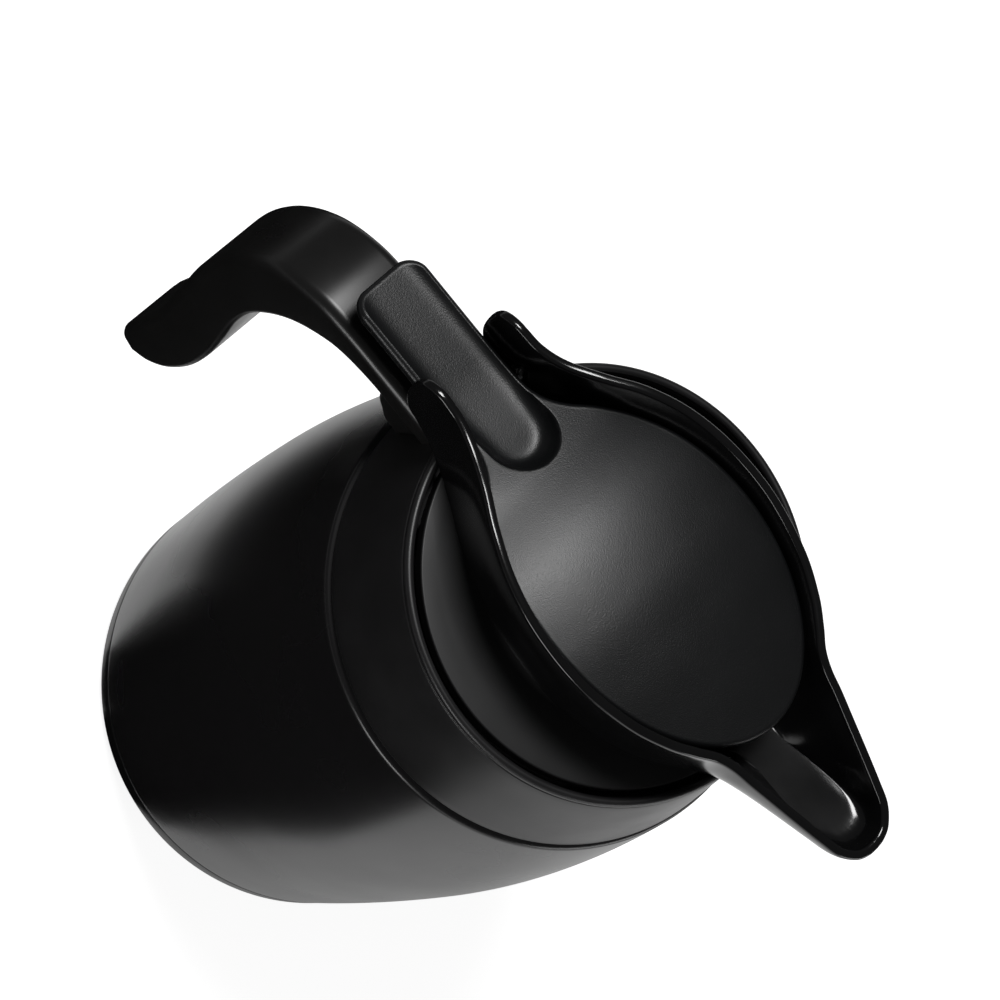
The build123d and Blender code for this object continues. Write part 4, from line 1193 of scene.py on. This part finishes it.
# ================================ lid ==========================================================
@dataclass(frozen=True)
class FlipLid:
    """Lid plate with its thumb lever, as a rounded slab under a height map; in millimetres.

    The profile holds (x, z) of the top along the middle, before the thumb trough is sunk in. A
    pair named for a blend holds the two x between which it runs.
    """

    plate_length: float = 43.1
    plate_width: float = 30.0
    plate_offset: float = 1.0
    plate_thickness: float = 2.4
    plate_blend: tuple[float, float] = (-46.0, -28.0)
    dome: float = 2.6
    edge_rounding: float = 1.3
    # lever, and the fillet between it and the plate
    lever_reach: float = 85.0
    lever_width: float = 10.0
    lever_corner: float = 5.0
    lever_roof: float = 1.7
    lever_blend: tuple[float, float] = (-43.0, -48.0)
    lever_skirt: float = 210.8
    skirt_wall: float = 1.6
    skirt_edge: float = 0.5
    skirt_chamfer: float = 0.2
    fillet_start: float = -46.5
    fillet_cosine: float = -0.855
    fillet_reach: float = 4.2
    # middle line that the rings of the top close on
    spine_joint: float = -40.0
    spine_back: float = 7.0
    spine_share: float = 0.72
    spine_front: float = 24.0
    # thumb trough
    trough_width: float = 8.9
    trough_floor: float = 212.3
    trough_climb: float = 1.2
    trough_blend: tuple[float, float] = (-58.0, -33.0)
    trough_nose: float = -40.4
    trough_power: int = 6
    # hinge knuckles
    hinge_x: float = -48.6
    hinge_z: float = 209.4
    barrel_radius: float = 2.3
    barrel_corner: float = 0.4
    barrel_end: float = 10.35
    barrel_start: float = 2.95
    barrel_steps: int = 64
    bore_radius: float = 1.34
    bore_corner: float = 0.1
    # numbers of points
    corner_steps: int = 14
    plate_steps: int = 220
    fillet_steps: int = 24
    half_steps: int = 420
    top_rings: int = 72
    under_rings: int = 24
    under_share: float = 0.97
    edge_steps: int = 8
    skirt_edge_steps: int = 5
    profile_steps: int = 24
    profile: tuple[tuple[float, float], ...] = (
        (-92.0, 213.8), (-56.0, 213.8), (-45.0, 215.2), (-32.0, 219.6), (-16.0, 224.9),
        (0.0, 227.2), (14.0, 227.4), (28.0, 226.7), (48.0, 225.2))

    def outline(self) -> np.ndarray:
        """Half outline seen from above, from the lever's end to the plate's front, +Y side.

        Returns:
            (n, 2) points: the lever's round corner, its side, a cubic fillet and half an ellipse.
        """
        turn = quarter(self.corner_steps)
        end = np.stack([-self.lever_reach + self.lever_corner * (1 - np.sin(turn)),
                        self.lever_width - self.lever_corner * (1 - np.cos(turn))], axis=1)[::-1]
        sweep = np.linspace(math.acos(self.fillet_cosine), 0.0, self.plate_steps)
        plate = np.stack([self.plate_offset + self.plate_length * np.cos(sweep),
                          self.plate_width * np.sin(sweep)], axis=1)
        slope = unit(plate[1:2] - plate[:1])
        start = np.array([[self.fillet_start, self.lever_width]])
        fillet = bezier(start, start + (self.fillet_reach, 0.0), plate[:1] - slope * self.fillet_reach,
                        plate[:1], np.linspace(0, 1, self.fillet_steps))[0]
        half = np.vstack([[[-self.lever_reach, 0.0]], end, fillet, plate[1:]])
        return even_spacing(half, self.half_steps)

    def top(self, plan: np.ndarray) -> np.ndarray:
        """Top of the lid: the side profile, less a dome across, with the thumb trough sunk in.

        Args:
            plan: (n, 2) places seen from above.

        Returns:
            (n, 1) heights: the trough is nearly level in its middle and rises steeply at its edge.
        """
        x, y = plan[:, 0], plan[:, 1]
        profile = curve_through(self.profile, self.profile_steps)
        line = np.interp(x, profile[:, 0], profile[:, 1])
        line = line - smoothstep(*self.plate_blend, x) * self.dome * (y / self.plate_width) ** 2
        distance = np.sqrt(y ** 2 + (x - self.trough_nose).clip(0.0) ** 2) / self.trough_width
        floor = self.trough_floor + self.trough_climb * smoothstep(*self.trough_blend, x)
        depth = (line - floor) * (1.0 - np.clip(distance, 0.0, 1.0) ** self.trough_power)
        return (line - depth)[:, None]

    def underside(self, plan: np.ndarray) -> np.ndarray:
        """Underside of the lid: the top less the plate's thickness, or the lever's roof.

        Args:
            plan: (n, 2) places seen from above.

        Returns:
            (n, 1) heights.
        """
        wall = np.where(plan[:, :1] < self.spine_joint, self.lever_roof, self.plate_thickness)
        return self.top(plan) - wall

    def spine(self, outline: np.ndarray) -> np.ndarray:
        """Places on the middle line that the outline's points shrink to.

        Args:
            outline: (n, 2) points of the outline.

        Returns:
            (n, 2) places: straight across in the lever, drawn together by a share in the plate.
        """
        x, joint = outline[:, 0], self.spine_joint
        along = np.where(x < joint, x.clip(-self.lever_reach + self.spine_back, None),
                         np.clip(joint + (x - joint) * self.spine_share, joint, self.spine_front))
        return np.stack([along, 0 * along], axis=1)

    def slab(self) -> bpy.types.Object:
        """Plate and lever as one closed slab with rounded edges and hollow skirts under the lever.

        Returns:
            The slab: rings from the spine out over the top, round the edge and back underneath.
        """
        half = self.outline()
        outline = np.vstack([half * (1, -1), half[-2:0:-1]])
        along = unit(np.roll(outline, -1, axis=0) - np.roll(outline, 1, axis=0))
        outward = np.stack([along[:, 1], -along[:, 0]], axis=1)
        edge = outline - outward * self.edge_rounding
        spine = self.spine(outline)
        lever = smoothstep(*self.lever_blend, outline[:, 0])[:, None]
        plans = [spine + (edge - spine) * share for share in np.linspace(0.0, 1.0, self.top_rings)]
        rings = [lifted(plan, self.top(plan)) for plan in plans]
        for turn in quarter(self.edge_steps)[1:]:
            plan = edge + outward * self.edge_rounding * math.sin(turn)
            rings.append(lifted(plan, self.top(edge) - self.edge_rounding * (1 - math.cos(turn))))
        bottom = (1 - lever) * (self.top(edge) - self.plate_thickness) + lever * self.lever_skirt
        for turn in quarter(self.skirt_edge_steps):
            plan = outline - outward * self.skirt_edge * (1 - math.cos(turn))
            rings.append(lifted(plan, bottom + self.skirt_edge * (1 - math.sin(turn))))
        inner = outline - outward * self.skirt_wall
        rings.append(lifted(inner + outward * self.skirt_chamfer, bottom))
        rings.append(lifted(inner, lever * self.underside(inner) + (1 - lever) * bottom))
        plans = [spine + (inner - spine) * share
                 for share in np.linspace(self.under_share, 0.0, self.under_rings)]
        rings += [lifted(plan, self.underside(plan)) for plan in plans]
        return surface("lid_slab", np.stack(rings), Rows.OPEN)

    def knuckles(self) -> list[bpy.types.Object]:
        """Two hinge knuckles: tubes about the hinge axis, either side of the spring.

        Returns:
            The knuckles: x = c + r cos a and z = d + r sin a about the axis at (c, d).
        """
        ring = rounded_outline([(self.bore_radius, self.barrel_start, 0.0),
                                (self.barrel_radius, self.barrel_start, self.barrel_corner),
                                (self.barrel_radius, self.barrel_end, self.barrel_corner),
                                (self.bore_radius, self.barrel_end, self.bore_corner)], spacing=3.0)
        radius, across = ring[:, 0][:, None], ring[:, 1][:, None]
        angle = np.linspace(0, 2 * math.pi, self.barrel_steps, endpoint=False)
        return [surface(f"knuckle_{side}", np.stack(
            [self.hinge_x + radius * np.cos(angle), side * across + 0 * angle,
             self.hinge_z + radius * np.sin(angle)], axis=2), Rows.CLOSED) for side in (-1, 1)]

    def build(self, finishes: Materials) -> None:
        """Build and dress the lid.

        Args:
            finishes: materials by slot.
        """
        piece = join("lid_slab", [self.slab(), *self.knuckles()])
        place(piece, "lid", "lid_plastic", finishes["lid_plastic"], "flip_lid")


# ================================ kept pieces ==================================================
KEPT_SLOTS: dict[str, str] = {
    "inner_liner": "bare_steel", "outer_bottom": "bare_steel", "evacuation_cap": "bare_steel",
    "getter_capsule": "bare_steel", "base_pad": "pad", "collar_seal": "silicone",
    "handle_cover": "handle_plastic", "handle_screws": "screw_steel", "mouth_seal": "silicone",
    "stopper_plug": "plug_plastic", "channel_sleeve": "plug_plastic", "channel_ring": "silicone",
    "plug_cap": "plug_plastic", "plug_insulation": "foam", "hinge_pin": "screw_steel",
    "lid_spring": "screw_steel", "valve_carrier": "plug_plastic", "valve_disc": "silicone"}


def dress_kept(finishes: Materials) -> None:
    """Give the CAD nodes that stay visible their materials.

    Args:
        finishes: materials by slot.
    """
    for name, slot in KEPT_SLOTS.items():
        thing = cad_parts[name]
        thing.data.materials.clear()
        thing.data.materials.append(finishes[slot])
        LOG.info("%s keeps its shape as %s", name, slot)


def main() -> None:
    """Build the studio and dress the carafe."""
    logging.basicConfig(level=logging.INFO)
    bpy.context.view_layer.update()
    finishes = {slot: finish.material() for slot, finish in FINISHES.items()}
    Studio().build()
    Flask().build(finishes)
    Handle().build(finishes)
    PouringHead().build(finishes)
    FlipLid().build(finishes)
    dress_kept(finishes)


if __name__ == "__main__":
    main()
